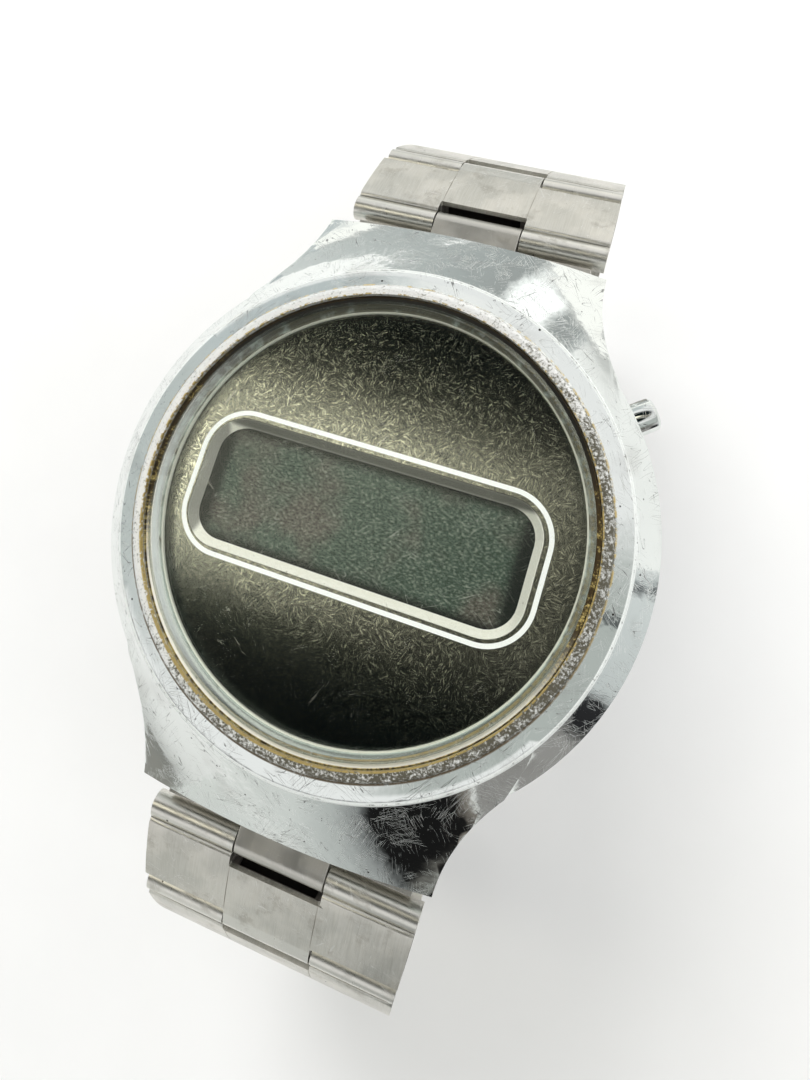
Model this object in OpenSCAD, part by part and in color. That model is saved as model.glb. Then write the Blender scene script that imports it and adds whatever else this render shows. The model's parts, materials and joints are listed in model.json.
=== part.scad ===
// Round digital quartz wristwatch on a folded-link steel bracelet.
// Sizes are in millimetres. The origin is the middle of the case back's outer face, +Z comes out
// of the dial, +X points to 3 o'clock and +Y to 12 o'clock. The bracelet is shown closed.

/* [Case] */
// Diameter of the round case
case_d = 38; // [37:0.5:46]
// Height from the case back's outer face to the top of the lip
case_h = 10.2; // [9.8:0.1:13]
// Radial width of the sloped outer facet
facet_w = 1.7; // [1:0.1:2.2]
// Height of the sloped outer facet
facet_h = 1.9; // [1.2:0.1:2.6]
// Radial width of the flat band between facet and lip
band_w = 1.3; // [0.8:0.1:1.8]
// Drop of that band on its way out
band_drop = 0.5; // [0.2:0.1:0.8]
// Radial width of the raised lip
lip_w = 0.75; // [0.5:0.05:1.2]
// Height of the raised lip over the band
lip_h = 0.4; // [0.2:0.05:0.6]
// Width of the ledge that carries the crystal
ledge_w = 0.85; // [0.7:0.05:1.2]
// Width of the seat under that ledge for the dial
dial_seat_w = 0.8; // [0.6:0.05:0.9]

/* [Hooded lugs] */
// How far the hoods reach past the round case
lug_reach = 3.05; // [2.6:0.05:4]
// Width over a hood at its end
lug_w = 21.5; // [21.5:0.1:23]
// Space between the two cheeks of a hood
lug_gap = 19; // [18:0.1:19.4]
// Radius of the flare that joins a hood to the round case
flare_r = 14; // [10:0.5:18]
// Radius of the bowed end of a hood in plan
hood_bow_r = 77; // [60:1:150]
// Angle from 12 o'clock to where a hood's side meets the round crease
hood_spread = 58; // [54:1:62]
// Height of the hood's top edge at its end
hood_end_h = 4.6; // [4.4:0.1:5.2]
// Thickness of the hood at its end
hood_t = 1.1; // [0.8:0.05:1.2]
// Height of the lowest edge of the lug cheeks
cheek_h = 0.3; // [0.1:0.05:0.5]

/* [Crystal and dial] */
// Thickness of the crystal
crystal_t = 1.2; // [1:0.05:1.3]
// Width of the bevel round the crystal's top
crystal_bevel = 0.35; // [0.2:0.05:0.5]
// Wall of the crystal gasket
gasket_wall = 0.3; // [0.2:0.05:0.4]
// Depth of the dial face below the top of the lip
dial_depth = 1.9; // [1.85:0.05:2.2]
// Thickness of the dial plate
dial_t = 0.4; // [0.3:0.05:0.5]
// Distance from the dial's edge to the window frame's short sides
window_inset = 2.85; // [2.6:0.05:3.9]
// Height of the display window frame
window_h = 9.2; // [8.4:0.1:10]
// Place of the window's middle towards 3 o'clock
window_x = -0.45; // [-0.5:0.05:0.3]
// Place of the window's middle towards 12 o'clock
window_y = -0.3; // [-0.5:0.05:0.3]
// Corner radius of the window frame
window_r = 2.6; // [1.5:0.1:3.5]
// Width of the frame's sloped inner edge
window_slope_w = 0.6; // [0.4:0.05:1]
// Depth of that slope
window_slope_h = 0.65; // [0.5:0.05:0.9]
// Width of the frame's flange behind the dial
window_flange = 0.6; // [0.3:0.05:0.7]

/* [Module] */
// How far the liquid crystal glasses reach past the window frame's short sides
glass_lap = 0.45; // [0.3:0.05:0.8]
// Height of the front glass
front_glass_h = 10.6; // [10.2:0.1:11]
// Height of the rear glass
rear_glass_h = 8.4; // [7.6:0.1:8.6]
// Thickness of each glass
glass_t = 0.55; // [0.4:0.05:0.7]
// Thickness of the reflector sheet behind the glasses
reflector_t = 0.12; // [0.08:0.02:0.2]
// Distance from the glasses' ends to the ends of the two rubber connector strips
zebra_inset = 1; // [0.75:0.25:2.5]
// Thickness of the connector strips
zebra_t = 0.8; // [0.6:0.05:0.85]
// Thickness of the circuit board
board_t = 0.8; // [0.6:0.1:1]
// Wall of the module frame
frame_wall = 0.7; // [0.5:0.05:0.8]
// Diameter of the battery
battery_d = 9.5; // [7.9:0.1:10]
// Thickness of the battery
battery_t = 2.1; // [1.6:0.05:2.1]
// Clearance between the battery and the edge of the circuit board
battery_gap = 1.1; // [0.7:0.1:1.4]
// Side length of the driver chip's resin drop
chip_w = 5; // [4:0.1:5.5]
// Diameter of the quartz resonator can
quartz_d = 2; // [1.5:0.1:2]
// Length of the quartz resonator can
quartz_l = 6; // [5:0.1:7]
// Diameter of the trimmer capacitor
trimmer_d = 3; // [2.4:0.1:3.2]
// Diameter of the microlamp beside the glasses
lamp_d = 1.1; // [0.9:0.05:1.2]
// Length of the microlamp
lamp_l = 4; // [3:0.1:4.5]

/* [Case back] */
// Thickness of the case back plate
back_t = 1; // [0.8:0.05:1.2]
// Thickness of the snap rim
rim_t = 0.75; // [0.6:0.05:0.8]
// Height of the snap rim above the plate
rim_h = 1.5; // [1:0.1:2]
// Diameter of the flat middle of the back
back_flat_d = 27; // [22:0.5:30]
// Width of the back gasket
back_gasket_w = 0.65; // [0.5:0.05:0.7]

/* [Pusher] */
// Direction of the pusher above 3 o'clock
pusher_angle = 38; // [30:1:42]
// Height of the pusher axis over the circuit board
pusher_rise = 1.18; // [1.14:0.02:1.3]
// Diameter of the pusher cap
pusher_d = 2.3; // [2:0.1:2.4]
// How far the cap stands out of the case
pusher_reach = 1.75; // [1.2:0.05:2.2]
// Travel of the pusher
pusher_travel = 0.8; // [0.5:0.05:0.9]
// Diameter of the pusher stem
stem_d = 1.2; // [1:0.1:1.3]
// Wire of the return spring
spring_wire = 0.2; // [0.15:0.01:0.25]
// Turns of the return spring
spring_turns = 4; // [3:5]

/* [Bracelet] */
// Distance between the hinge pins of a link
pitch = 7; // [6.6:0.1:8]
// Width of the bracelet at the first link
link_w = 20.6; // [20:0.1:21.2]
// Loss of width from one link to the next
link_taper = 0.6; // [0:0.05:0.7]
// Width of the middle part of every link
middle_w = 6.9; // [6:0.1:8]
// Diameter of the rolled knuckles
knuckle_d = 2; // [1.8:0.05:2.2]
// Rise of the plate over the knuckle roll
plate_rise = 0.15; // [0.05:0.05:0.25]
// Crown of the plate along a link
plate_crown = 0.22; // [0.1:0.02:0.3]
// Thickness of the folded sheet
sheet_t = 0.42; // [0.35:0.01:0.5]
// Diameter of the hinge pins
pin_d = 1; // [0.8:0.05:1.05]
// Distance from a hood's end to the first hinge pin
first_pin_reach = 2.25; // [2.1:0.05:2.6]
// Height of the first hinge pin
first_pin_z = 1.1; // [1:0.05:1.4]
// Bend of each link against the one before it, in degrees
bends = [28, 30, 27, 25, 24, 22]; // [20:1:32]

/* [Spring bars] */
// Diameter of the spring bar barrel
bar_d = 1.8; // [1.5:0.05:1.9]
// Diameter of the spring bar tips
tip_d = 1; // [0.8:0.05:1.1]
// Depth of the tip holes in the cheeks
tip_hole_depth = 0.8; // [0.6:0.05:0.9]
// Distance from a hood's end to the spring bar
bar_inset = 2.45; // [2.2:0.05:2.6]
// Height of the spring bar axis
bar_z = 1.9; // [1.7:0.05:2]

/* [Clasp] */
// Radius of the curve of the clasp plates
clasp_r = 60; // [50:1:90]
// Width over the clasp cover
clasp_w = 17; // [16:0.1:17.4]
// Sheet of the clasp cover
cover_t = 0.5; // [0.4:0.05:0.6]
// Sheet of the two folding blades
blade_t = 0.6; // [0.5:0.05:0.65]
// Width of the middle blade
middle_blade_w = 13; // [11:0.1:14]
// Width of the inner blade
inner_blade_w = 10; // [9.6:0.1:10.4]
// Diameter of the two fold pins
fold_pin_d = 0.8; // [0.7:0.05:0.9]
// Distance from the cover's hinge pin to the fold pin next to it
fold_inset = 3.4; // [3.2:0.1:4.5]

/* [Hidden] */
$fn = 96;
// Clearance between parts that are glued, pressed or laid on each other
seat = 0.02;
// Radial clearance of running pins and of the sliding pusher
run = 0.05;
// Clearance between parts that swing past each other
swing = 0.35;
links = len(bends);

// Round case, from the outside in
case_r = case_d / 2;
crease_r = case_r - facet_w;
lip_outer_r = crease_r - band_w;
lip_inner_r = lip_outer_r - lip_w;
ledge_r = lip_inner_r - ledge_w;
cavity_r = ledge_r + dial_seat_w;
lip_foot_z = case_h - lip_h;
crease_z = lip_foot_z - band_drop;
girdle_z = crease_z - facet_h;
dial_z = case_h - dial_depth;
ledge_z = dial_z + seat;
crystal_seat_z = dial_z + 0.3;
rim_bore_r = cavity_r + rim_t + 0.1;
groove_r = rim_bore_r + back_gasket_w + 0.05;
groove_h = 0.52;
skirt_r = groove_r + 0.85;
flank_z = back_t + 2.2;
flank_r = case_r - 0.35;

// Hooded lugs. hood_lap is how far a hood's top laps over the round crease, so that the two meet
// in one clean line.
hood_lap = 0.04;
lug_end = case_r + lug_reach;
flare_x = lug_w / 2 + flare_r;
flare_y = sqrt(pow(case_r + flare_r, 2) - pow(flare_x, 2));
lug_root_x = case_r * flare_x / (case_r + flare_r);
pocket_y = groove_r + 0.75;
pocket_z = hood_end_h - hood_t;
bar_y = lug_end - bar_inset;

// Module, from the dial down
module_r = cavity_r - 0.2;
dial_r = cavity_r - 0.3;
window_w = 2 * (dial_r - window_inset);
glass_w = window_w + 2 * glass_lap;
zebra_w = glass_w - 2 * zebra_inset;
foot_r = 0.4;
foot_l = 1.2;
gasket_h = 0.9;
gasket_foot_t = 0.21;
glass_z = dial_z - window_slope_h - seat;
rear_glass_z = glass_z - glass_t - seat;
reflector_z = rear_glass_z - glass_t - seat;
board_r = module_r - frame_wall - 0.1;
module_z = back_t + 0.25;
board_z = back_t + battery_t + 0.5;
deck_z = board_z + board_t + seat;
pcb_parts_z = board_z - seat;
battery_at = board_r - battery_d / 2 - battery_gap;
battery_x = battery_at * cos(42);
battery_y = -battery_at * sin(42);
zebra_y = (front_glass_h + rear_glass_h) / 4;
lamp_x = glass_w / 2 + 0.15 + lamp_d / 2;
lamp_z = rear_glass_z - 0.5;

// Pusher, measured along its axis from the middle of the case
pusher_z = deck_z + pusher_rise;
tube_r = pusher_d / 2 + run + 0.3;
tube_in = cavity_r - 0.08;
tube_out = flank_r + 0.2;
tube_floor = tube_in + 1.2;
cap_out = tube_out + pusher_reach;
cap_in = tube_floor + 1.9;
clip_t = 0.25;
clip_at = tube_in - seat - clip_t;
clip_r = stem_d / 2 + 0.45;
stem_neck_r = stem_d / 2 - 0.18;
stem_in = clip_at - 1.1;
contact_at = stem_in - pusher_travel - 0.25;
seal_at = cap_in + 0.45;
seal_wire = 0.34;

// Bracelet
knuckle_r = knuckle_d / 2;
plate_top = knuckle_r + plate_rise;
side_end = pitch - knuckle_r - swing;
notch_end = knuckle_r + swing + 0.15;
notch_w = middle_w + 0.2;
crown_r = (pow(pitch / 2, 2) + pow(plate_crown, 2)) / (2 * plate_crown);
first_pin_y = lug_end + first_pin_reach;

// Closed loop: lean is a link's slope below the horizontal, and the pins follow from it
function lean(i) = i == 0 ? bends[0] : lean(i - 1) + bends[i];
function pin_y(i) = i == 0 ? first_pin_y : pin_y(i - 1) + pitch * cos(lean(i - 1));
function pin_z(i) = i == 0 ? first_pin_z : pin_z(i - 1) - pitch * sin(lean(i - 1));
function width_at(i) = link_w - link_taper * i;

// Clasp: its plates are arcs about one axis, through the last pins of both chains
clasp_y = pin_y(links);
clasp_z = pin_z(links);
clasp_axis_z = clasp_z + sqrt(pow(clasp_r, 2) - pow(clasp_y, 2));
cover_gap = knuckle_r + 0.3;
cover_lead = 1.6;
middle_gap = 0.35;
inner_gap = -0.15 - blade_t;
fold_pin_gap = middle_gap + blade_t / 2 - 0.1;
fold_knuckle_r = fold_pin_d / 2 + 0.28;
half_turn = asin(clasp_y / clasp_r);
fold_turn = asin((clasp_y - fold_inset) / clasp_r);
ear_r = 0.85;
ear_t = 1.1;

upper_links = [for (i = [1:links]) str("upper_link_", i)];
upper_pins = [for (i = [1:links]) str("upper_pin_", i)];
lower_links = [for (i = [1:links]) str("lower_link_", i)];
lower_pins = [for (i = [1:links]) str("lower_pin_", i)];

// Helpers

// Repeats its children at 12 and at 6 o'clock
module both_ends() {
  children();
  mirror([0, 1, 0]) children();
}

// Cylinder along X, centred on x = 0
module bar_x(r, l) {
  rotate([0, 90, 0]) cylinder(r = r, h = l, center = true);
}

// Block from z0 to z1, centred in X and Y
module slab(w, h, z0, z1) {
  translate([-w / 2, -h / 2, z0]) cube([w, h, z1 - z0]);
}

// Rounded block from z0 to z1, centred in X and Y
module pill(w, h, r, z0, z1) {
  slab(w - 2 * r, h, z0, z1);
  slab(w, h - 2 * r, z0, z1);
  for (x = [-1, 1], y = [-1, 1])
    translate([x * (w / 2 - r), y * (h / 2 - r), z0]) cylinder(r = r, h = z1 - z0);
}

// Ring about Z from z0 to z1
module ring(r_in, r_out, z0, z1) {
  translate([0, 0, z0]) difference() {
    cylinder(r = r_out, h = z1 - z0);
    translate([0, 0, -1]) cylinder(r = r_in, h = z1 - z0 + 2);
  }
}

// Turns a profile of [distance along the pusher axis, radius] about that axis
module along_pusher(profile) {
  translate([0, 0, pusher_z])
    rotate([0, 90, pusher_angle])
      rotate_extrude() polygon([for (p = profile) [p[1], p[0]]]);
}

// Cylinder along the pusher axis
module pusher_bore(r, from, to) {
  along_pusher([[from, 0], [to, 0], [to, r], [from, r]]);
}

// Case middle

module case_round() {
  rotate_extrude($fn = 180) polygon([
    [0, back_t],
    [skirt_r, back_t],
    [flank_r - 0.15, flank_z],
    [flank_r, flank_z + 0.3],
    [case_r, girdle_z - 0.25],
    [case_r, girdle_z],
    [crease_r, crease_z],
    [lip_outer_r, lip_foot_z],
    [lip_outer_r - 0.12, lip_foot_z + lip_h * 0.7],
    [lip_inner_r + 0.3, case_h],
    [0, case_h]]);
}

// Outline of the two hoods in plan, with flared sides and bowed ends
module hood_plan() {
  difference() {
    intersection() {
      slab(2 * lug_root_x, 2 * lug_end + 2, 0, case_h);
      both_ends()
        translate([0, lug_end - hood_bow_r, 0]) cylinder(r = hood_bow_r, h = case_h, $fn = 360);
    }
    both_ends() for (x = [-1, 1])
      translate([x * flare_x, flare_y, -1]) cylinder(r = flare_r, h = case_h + 2, $fn = 180);
  }
}

// Height of a hood: a ruled surface from an arc of the round crease to the hood's bowed end
function hood_start(u) = [
  (crease_r + hood_lap) * sin(u * hood_spread),
  (crease_r + hood_lap) * cos(u * hood_spread),
  crease_z + 0.3 * hood_lap];
function hood_edge(u) = [
  u * (lug_w / 2 + 0.4),
  lug_end - hood_bow_r + sqrt(pow(hood_bow_r, 2) - pow(u * lug_w / 2, 2)) + 0.2,
  hood_end_h - 0.2];

module hood_top() {
  across = 28;
  along = 4;
  row = along + 2;
  rows = [for (i = [0:across]) let (
    u = 2 * i / across - 1,
    a = hood_start(u),
    b = hood_edge(u))
    concat([[0.6 * a[0], 0.6 * a[1], a[2]]], [for (j = [0:along]) a + (b - a) * j / along])];
  top = [for (r = rows) each r];
  base = [for (p = top) [p[0], p[1], 0]];
  n = len(top);
  cells = [for (i = [0:across - 1], j = [0:row - 2]) let (k = i * row + j) each [
    [k, k + row + 1, k + row], [k, k + 1, k + row + 1],
    [n + k, n + k + row, n + k + row + 1], [n + k, n + k + row + 1, n + k + 1]]];
  rims = concat(
    [for (i = [0:across - 1]) let (k = i * row) each [[k, k + row, n + k + row], [k, n + k + row, n + k]]],
    [for (i = [0:across - 1]) let (k = i * row + row - 1)
      each [[k, n + k, n + k + row], [k, n + k + row, k + row]]],
    [for (j = [0:row - 2]) each [[j, n + j, n + j + 1], [j, n + j + 1, j + 1]]],
    [for (j = [0:row - 2]) let (k = across * row + j)
      each [[k, k + 1, n + k + 1], [k, n + k + 1, n + k]]]);
  polyhedron(concat(top, base), concat(cells, rims));
}

// Side view of the hoods from below, with the cheeks reaching lower than the case
module hood_side() {
  reach = lug_end + 0.2;
  rotate([90, 0, 90])
    translate([0, 0, -case_r])
      linear_extrude(case_d) polygon([
        [0, back_t], [skirt_r, back_t], [skirt_r + 1.1, cheek_h],
        [reach - 1.2, cheek_h], [reach, cheek_h + 1.2], [reach, case_h], [0, case_h]]);
}

module hoods() {
  both_ends() intersection() {
    hood_plan();
    hood_top();
    hood_side();
  }
}

module case_cavity() {
  rotate_extrude() polygon([
    [0, 0],
    [groove_r, 0],
    [groove_r, back_t + groove_h],
    [rim_bore_r, back_t + groove_h],
    [rim_bore_r, back_t + rim_h + 0.1],
    [cavity_r, back_t + rim_h + 0.1],
    [cavity_r, ledge_z],
    [ledge_r, ledge_z],
    [ledge_r, crystal_seat_z],
    [lip_inner_r, crystal_seat_z],
    [lip_inner_r, case_h + 1],
    [0, case_h + 1]]);
}

// Pocket under a hood for the end link, with the two blind holes for the spring bar
module lug_pocket() {
  translate([-lug_gap / 2, pocket_y, -1]) cube([lug_gap, lug_reach + 6, pocket_z + 1]);
  translate([0, bar_y, bar_z]) bar_x(tip_d / 2 + run, lug_gap + 2 * tip_hole_depth);
}

module case_middle() {
  color("silver") difference() {
    union() {
      case_round();
      hoods();
    }
    case_cavity();
    both_ends() lug_pocket();
    pusher_bore(tube_r + seat, tube_in - 1, case_r + 1);
  }
}

// Case back

module case_back() {
  color("lightgray") difference() {
    rotate_extrude() polygon([
      [0, 0],
      [back_flat_d / 2, 0],
      [skirt_r - 0.3, back_t * 0.55],
      [skirt_r - 0.2, back_t - seat],
      [rim_bore_r - 0.04, back_t - seat],
      [rim_bore_r - 0.04, back_t + rim_h - 0.3],
      [rim_bore_r - 0.3, back_t + rim_h],
      [rim_bore_r - rim_t, back_t + rim_h],
      [rim_bore_r - rim_t, back_t],
      [0, back_t]]);
    // Notch for the case knife at 9 o'clock
    translate([-skirt_r - 1, -2, back_t - 0.4]) cube([1.9, 4, 1]);
  }
}

module back_gasket() {
  color("black") ring(rim_bore_r + seat, rim_bore_r + back_gasket_w, back_t + seat,
    back_t + groove_h - seat);
}

// Crystal, gasket and dial

module crystal() {
  r = lip_inner_r - gasket_wall - 2 * seat;
  z = crystal_seat_z + gasket_foot_t + 2 * seat;
  color("lightcyan", 0.4) rotate_extrude($fn = 180) polygon([
    [0, z],
    [r, z],
    [r, z + crystal_t - crystal_bevel],
    [r - crystal_bevel, z + crystal_t],
    [0, z + crystal_t]]);
}

// L-shaped ring: a foot under the crystal and a wall round it
module crystal_gasket() {
  z = crystal_seat_z + seat;
  color("saddlebrown") rotate_extrude() polygon([
    [ledge_r + 0.1, z],
    [lip_inner_r - seat, z],
    [lip_inner_r - seat, z + gasket_h],
    [lip_inner_r - gasket_wall - seat, z + gasket_h],
    [lip_inner_r - gasket_wall - seat, z + gasket_foot_t],
    [ledge_r + 0.1, z + gasket_foot_t]]);
}

// Two feet under the dial; the frame's holes for them are wider and deeper
module dial_feet(r, z0, z1) {
  for (x = [-1, 1])
    translate([x * 0.62 * dial_r, x * 0.68 * dial_r, z0]) cylinder(r = r, h = z1 - z0);
}

module dial() {
  color("darkolivegreen") {
    difference() {
      translate([0, 0, dial_z - dial_t]) cylinder(r = dial_r, h = dial_t);
      at_window() pill(window_w + 2 * run, window_h + 2 * run, window_r + run,
        dial_z - 2 * dial_t, dial_z + dial_t);
    }
    dial_feet(foot_r, dial_z - dial_t - foot_l, dial_z - dial_t / 2);
  }
}

module at_window() {
  translate([window_x, window_y, 0]) children();
}

// Rounded opening with sloped sides, wide at the dial and narrow at the glass
module window_slope() {
  w = window_w - 0.1;
  h = window_h - 0.1;
  r = window_r - 0.05;
  hull() {
    pill(w, h, r, dial_z, dial_z + 0.1, $fn = 32);
    pill(w - 2 * window_slope_w, h - 2 * window_slope_w, max(0.3, r - window_slope_w),
      glass_z - 0.1, glass_z + 0.1, $fn = 32);
  }
}

module window_frame() {
  color("tan") at_window() difference() {
    union() {
      pill(window_w, window_h, window_r, glass_z + seat, dial_z);
      pill(window_w + 2 * window_flange, window_h + 2 * window_flange,
        window_r + window_flange, glass_z + seat, dial_z - dial_t - seat);
    }
    window_slope();
  }
}

// Display

module front_glass() {
  color("darkslategray") slab(glass_w, front_glass_h, glass_z - glass_t, glass_z);
}

module rear_glass() {
  color("slategray") slab(glass_w, rear_glass_h, rear_glass_z - glass_t, rear_glass_z);
}

module reflector() {
  color("gainsboro") slab(glass_w, rear_glass_h, reflector_z - reflector_t, reflector_z);
}

module lamp() {
  color("khaki") translate([-lamp_x, lamp_l / 2, lamp_z]) rotate([90, 0, 0]) {
    cylinder(d = lamp_d, h = lamp_l - lamp_d / 2);
    translate([0, 0, lamp_l - lamp_d / 2]) sphere(d = lamp_d);
  }
}

module zebra_strips() {
  z0 = deck_z;
  z1 = glass_z - glass_t - seat;
  color("dimgray") both_ends()
    translate([0, zebra_y, 0]) slab(zebra_w, zebra_t, z0, z1);
}

// Module

module circuit_board() {
  color("darkgreen") translate([0, 0, board_z]) cylinder(r = board_r, h = board_t);
}

module driver_chip() {
  h = 0.9;
  color("black") pill_at(-0.46 * board_r, 0.25 * board_r, chip_w, 1.2, h);
}

// Rounded block hanging under the board
module pill_at(x, y, w, r, h) {
  translate([x, y, 0]) pill(w, w, r, pcb_parts_z - h, pcb_parts_z);
}

module quartz_can() {
  at = [-0.39 * board_r, -0.53 * board_r, pcb_parts_z - quartz_d / 2];
  color("silver") translate(at) {
    bar_x(quartz_d / 2, quartz_l);
    translate([quartz_l / 2, 0, 0]) bar_x(quartz_d / 2 - 0.3, 1);
  }
}

module trimmer() {
  h = 1.3;
  color("peru") translate([0.28 * board_r, 0.46 * board_r, pcb_parts_z - h]) difference() {
    cylinder(d = trimmer_d, h = h);
    translate([-trimmer_d / 2 + 0.4, -0.2, -0.1]) cube([trimmer_d - 0.8, 0.4, 0.5]);
  }
}

// Plastic frame: a deck that holds the glasses and a wall round the board
module module_frame() {
  fit = 0.1;
  top = dial_z - dial_t - seat;
  flange = window_flange + fit;
  color("whitesmoke") difference() {
    translate([0, 0, module_z]) cylinder(r = module_r, h = top - module_z);
    translate([0, 0, module_z - 1]) cylinder(r = module_r - frame_wall, h = deck_z - module_z + 1);
    at_window() pill(window_w + 2 * flange, window_h + 2 * flange, window_r + flange,
      glass_z - seat, top + 1);
    slab(glass_w + 2 * fit, front_glass_h + 2 * fit, glass_z - glass_t - seat, top + 1);
    slab(glass_w + 2 * fit, rear_glass_h + 2 * fit,
      reflector_z - reflector_t - seat, glass_z);
    both_ends()
      translate([0, zebra_y, 0])
        slab(zebra_w + 2 * fit, zebra_t + 2 * seat, deck_z - 1, glass_z);
    translate([-lamp_x, 0, 0])
      slab(lamp_d + 2 * fit, lamp_l + 2 * fit, lamp_z - lamp_d / 2 - fit, top + 1);
    dial_feet(foot_r + run, dial_z - dial_t - foot_l - 0.2, top + 1);
    pusher_room();
  }
}

// Room in the frame for the stem, its clip and the contact spring
module pusher_room() {
  rotate([0, 0, pusher_angle])
    translate([contact_at - 0.8, -2, deck_z - 1]) cube([8, 4, pusher_z + 1.4 - deck_z + 1]);
}

module battery() {
  color("lightgray") translate([battery_x, battery_y, board_z - seat - battery_t]) {
    cylinder(d = battery_d - 1, h = 0.4);
    translate([0, 0, 0.3]) cylinder(d = battery_d, h = battery_t - 0.3);
  }
}

// Strap under the battery with two legs up to the board
module battery_clip() {
  t = 0.2;
  reach = battery_d / 2 + 0.2;
  z0 = board_z - seat - battery_t - t - 0.02;
  color("goldenrod") translate([battery_x, battery_y, 0]) rotate([0, 0, 48]) {
    slab(2 * reach + 2 * t, 2.4, z0, z0 + t);
    for (x = [-1, 1])
      translate([x * (reach + t / 2), 0, 0]) slab(t, 2.4, z0, board_z - seat);
  }
}

// Leaf that the pusher stem presses, with its foot on the board
module contact_spring() {
  t = 0.15;
  color("goldenrod") rotate([0, 0, pusher_angle]) translate([contact_at, -1.1, 0]) {
    translate([-t, 0, deck_z]) cube([t, 2.2, pusher_z + 0.7 - deck_z]);
    translate([-0.7, 0, deck_z - seat + 0.01]) cube([0.7, 2.2, t]);
  }
}

// Pusher

module pusher() {
  r = pusher_d / 2;
  color("silver") along_pusher([
    [stem_in, 0], [stem_in, stem_d / 2 - 0.1], [stem_in + 0.1, stem_d / 2],
    [clip_at - 0.03, stem_d / 2], [clip_at - 0.03, stem_neck_r],
    [clip_at + clip_t + 0.03, stem_neck_r], [clip_at + clip_t + 0.03, stem_d / 2],
    [cap_in, stem_d / 2], [cap_in, r],
    [seal_at - 0.2, r], [seal_at - 0.2, r - seal_wire], [seal_at + 0.2, r - seal_wire],
    [seal_at + 0.2, r], [cap_out - 0.2, r], [cap_out, r - 0.2], [cap_out, 0]]);
}

module pusher_tube() {
  bore = pusher_d / 2 + run;
  stem_bore = stem_d / 2 + run;
  color("lightgray") along_pusher([
    [tube_in, stem_bore], [tube_in, tube_r], [tube_out, tube_r],
    [tube_out, bore], [tube_floor, bore], [tube_floor, stem_bore]]);
}

module pusher_seal() {
  major = pusher_d / 2 - seal_wire / 2 + 0.02;
  color("black") translate([0, 0, pusher_z]) rotate([0, 90, pusher_angle])
    translate([0, 0, seal_at])
      rotate_extrude() translate([major, 0]) circle(d = seal_wire - 0.02, $fn = 24);
}

module pusher_clip() {
  color("goldenrod") translate([0, 0, pusher_z]) rotate([0, 90, pusher_angle])
    translate([0, 0, clip_at]) difference() {
      cylinder(r = clip_r, h = clip_t);
      translate([0, 0, -1]) cylinder(r = stem_neck_r + seat, h = 3);
      translate([-clip_r - 1, -0.3, -1]) cube([clip_r + 1, 0.6, 3]);
    }
}

// One unbroken tube of six sides along a helix between the tube's floor and the cap
module pusher_spring() {
  sides = 6;
  steps = 12 * spring_turns;
  coil_r = stem_d / 2 + run + spring_wire / 2 + 0.1;
  start = tube_floor + spring_wire / 2 + seat;
  rise = (cap_in - seat - spring_wire / 2 - start) / steps;
  rings = [for (i = [0:steps]) let (a = 30 * i) [for (k = [0:sides - 1]) let (
    b = 360 * k / sides,
    r = coil_r + spring_wire / 2 * cos(b))
    [r * cos(a), r * sin(a), start + rise * i + spring_wire / 2 * sin(b)]]];
  points = [for (ring = rings) each ring];
  walls = [for (i = [0:steps - 1], k = [0:sides - 1]) let (
    a = i * sides + k,
    b = i * sides + (k + 1) % sides)
    each [[a, b, b + sides], [a, b + sides, a + sides]]];
  first = [for (k = [0:sides - 1]) sides - 1 - k];
  last = [for (k = [0:sides - 1]) steps * sides + k];
  color("lightgray") translate([0, 0, pusher_z]) rotate([0, 90, pusher_angle])
    polyhedron(points, concat(walls, [first], [last]));
}

// Spring bars and end links

module spring_bars() {
  color("gray") both_ends() translate([0, bar_y, bar_z]) {
    bar_x(bar_d / 2, lug_gap - 1.2);
    bar_x(tip_d / 2, lug_gap + 2 * tip_hole_depth - 0.3);
  }
}

// Knuckle on the spring bar, a base under the hood and a tongue to the first link's pin
module end_link() {
  base_w = lug_gap - 0.2;
  shell_r = bar_d / 2 + run + 0.36;
  base_end = first_pin_y - knuckle_r - swing;
  color("silver") difference() {
    union() {
      translate([0, bar_y, bar_z]) bar_x(shell_r, base_w);
      translate([-base_w / 2, bar_y, first_pin_z - knuckle_r])
        cube([base_w, base_end - bar_y, knuckle_d]);
      translate([-middle_w / 2, bar_y, first_pin_z - knuckle_r])
        cube([middle_w, first_pin_y - bar_y, knuckle_d]);
      translate([0, first_pin_y, first_pin_z]) bar_x(knuckle_r, middle_w);
    }
    translate([0, bar_y, bar_z]) bar_x(bar_d / 2 + run, lug_gap + 2);
    translate([0, first_pin_y, first_pin_z]) bar_x(pin_d / 2 + seat, middle_w + 2);
    // Hollow between the folded sheets, open at both sides
    translate([0, (bar_y + shell_r + base_end) / 2 + 0.1, first_pin_z])
      cube([lug_gap + 2, base_end - bar_y - shell_r - 0.6, knuckle_d - 2 * sheet_t],
        center = true);
  }
}

module upper_end_link() {
  end_link();
}

module lower_end_link() {
  mirror([0, 1, 0]) end_link();
}

// Links. A link's own frame has its first pin on the X axis, the next pin at y = pitch, and its
// outer face towards +Z.

module place_link(i) {
  translate([0, pin_y(i), pin_z(i)]) rotate([-lean(i), 0, 0]) children();
}

// Tapered plan of a link, wide at its first pin
module link_plan(i) {
  a = width_at(i) / 2;
  b = width_at(i + 1) / 2;
  linear_extrude(4 * knuckle_d, center = true) polygon([
    [-a, -knuckle_r - 0.1], [a, -knuckle_r - 0.1], [b, pitch + knuckle_r],
    [-b, pitch + knuckle_r]]);
}

// Plate between two distances along the link, crowned on its outer face
module link_plate(w, from, to) {
  intersection() {
    translate([-w / 2, from, -knuckle_r]) cube([w, to - from, knuckle_r + plate_top + 1]);
    translate([0, pitch / 2, plate_top + plate_crown / 2 - crown_r]) bar_x(crown_r, w + 1, $fn = 360);
  }
}

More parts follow.
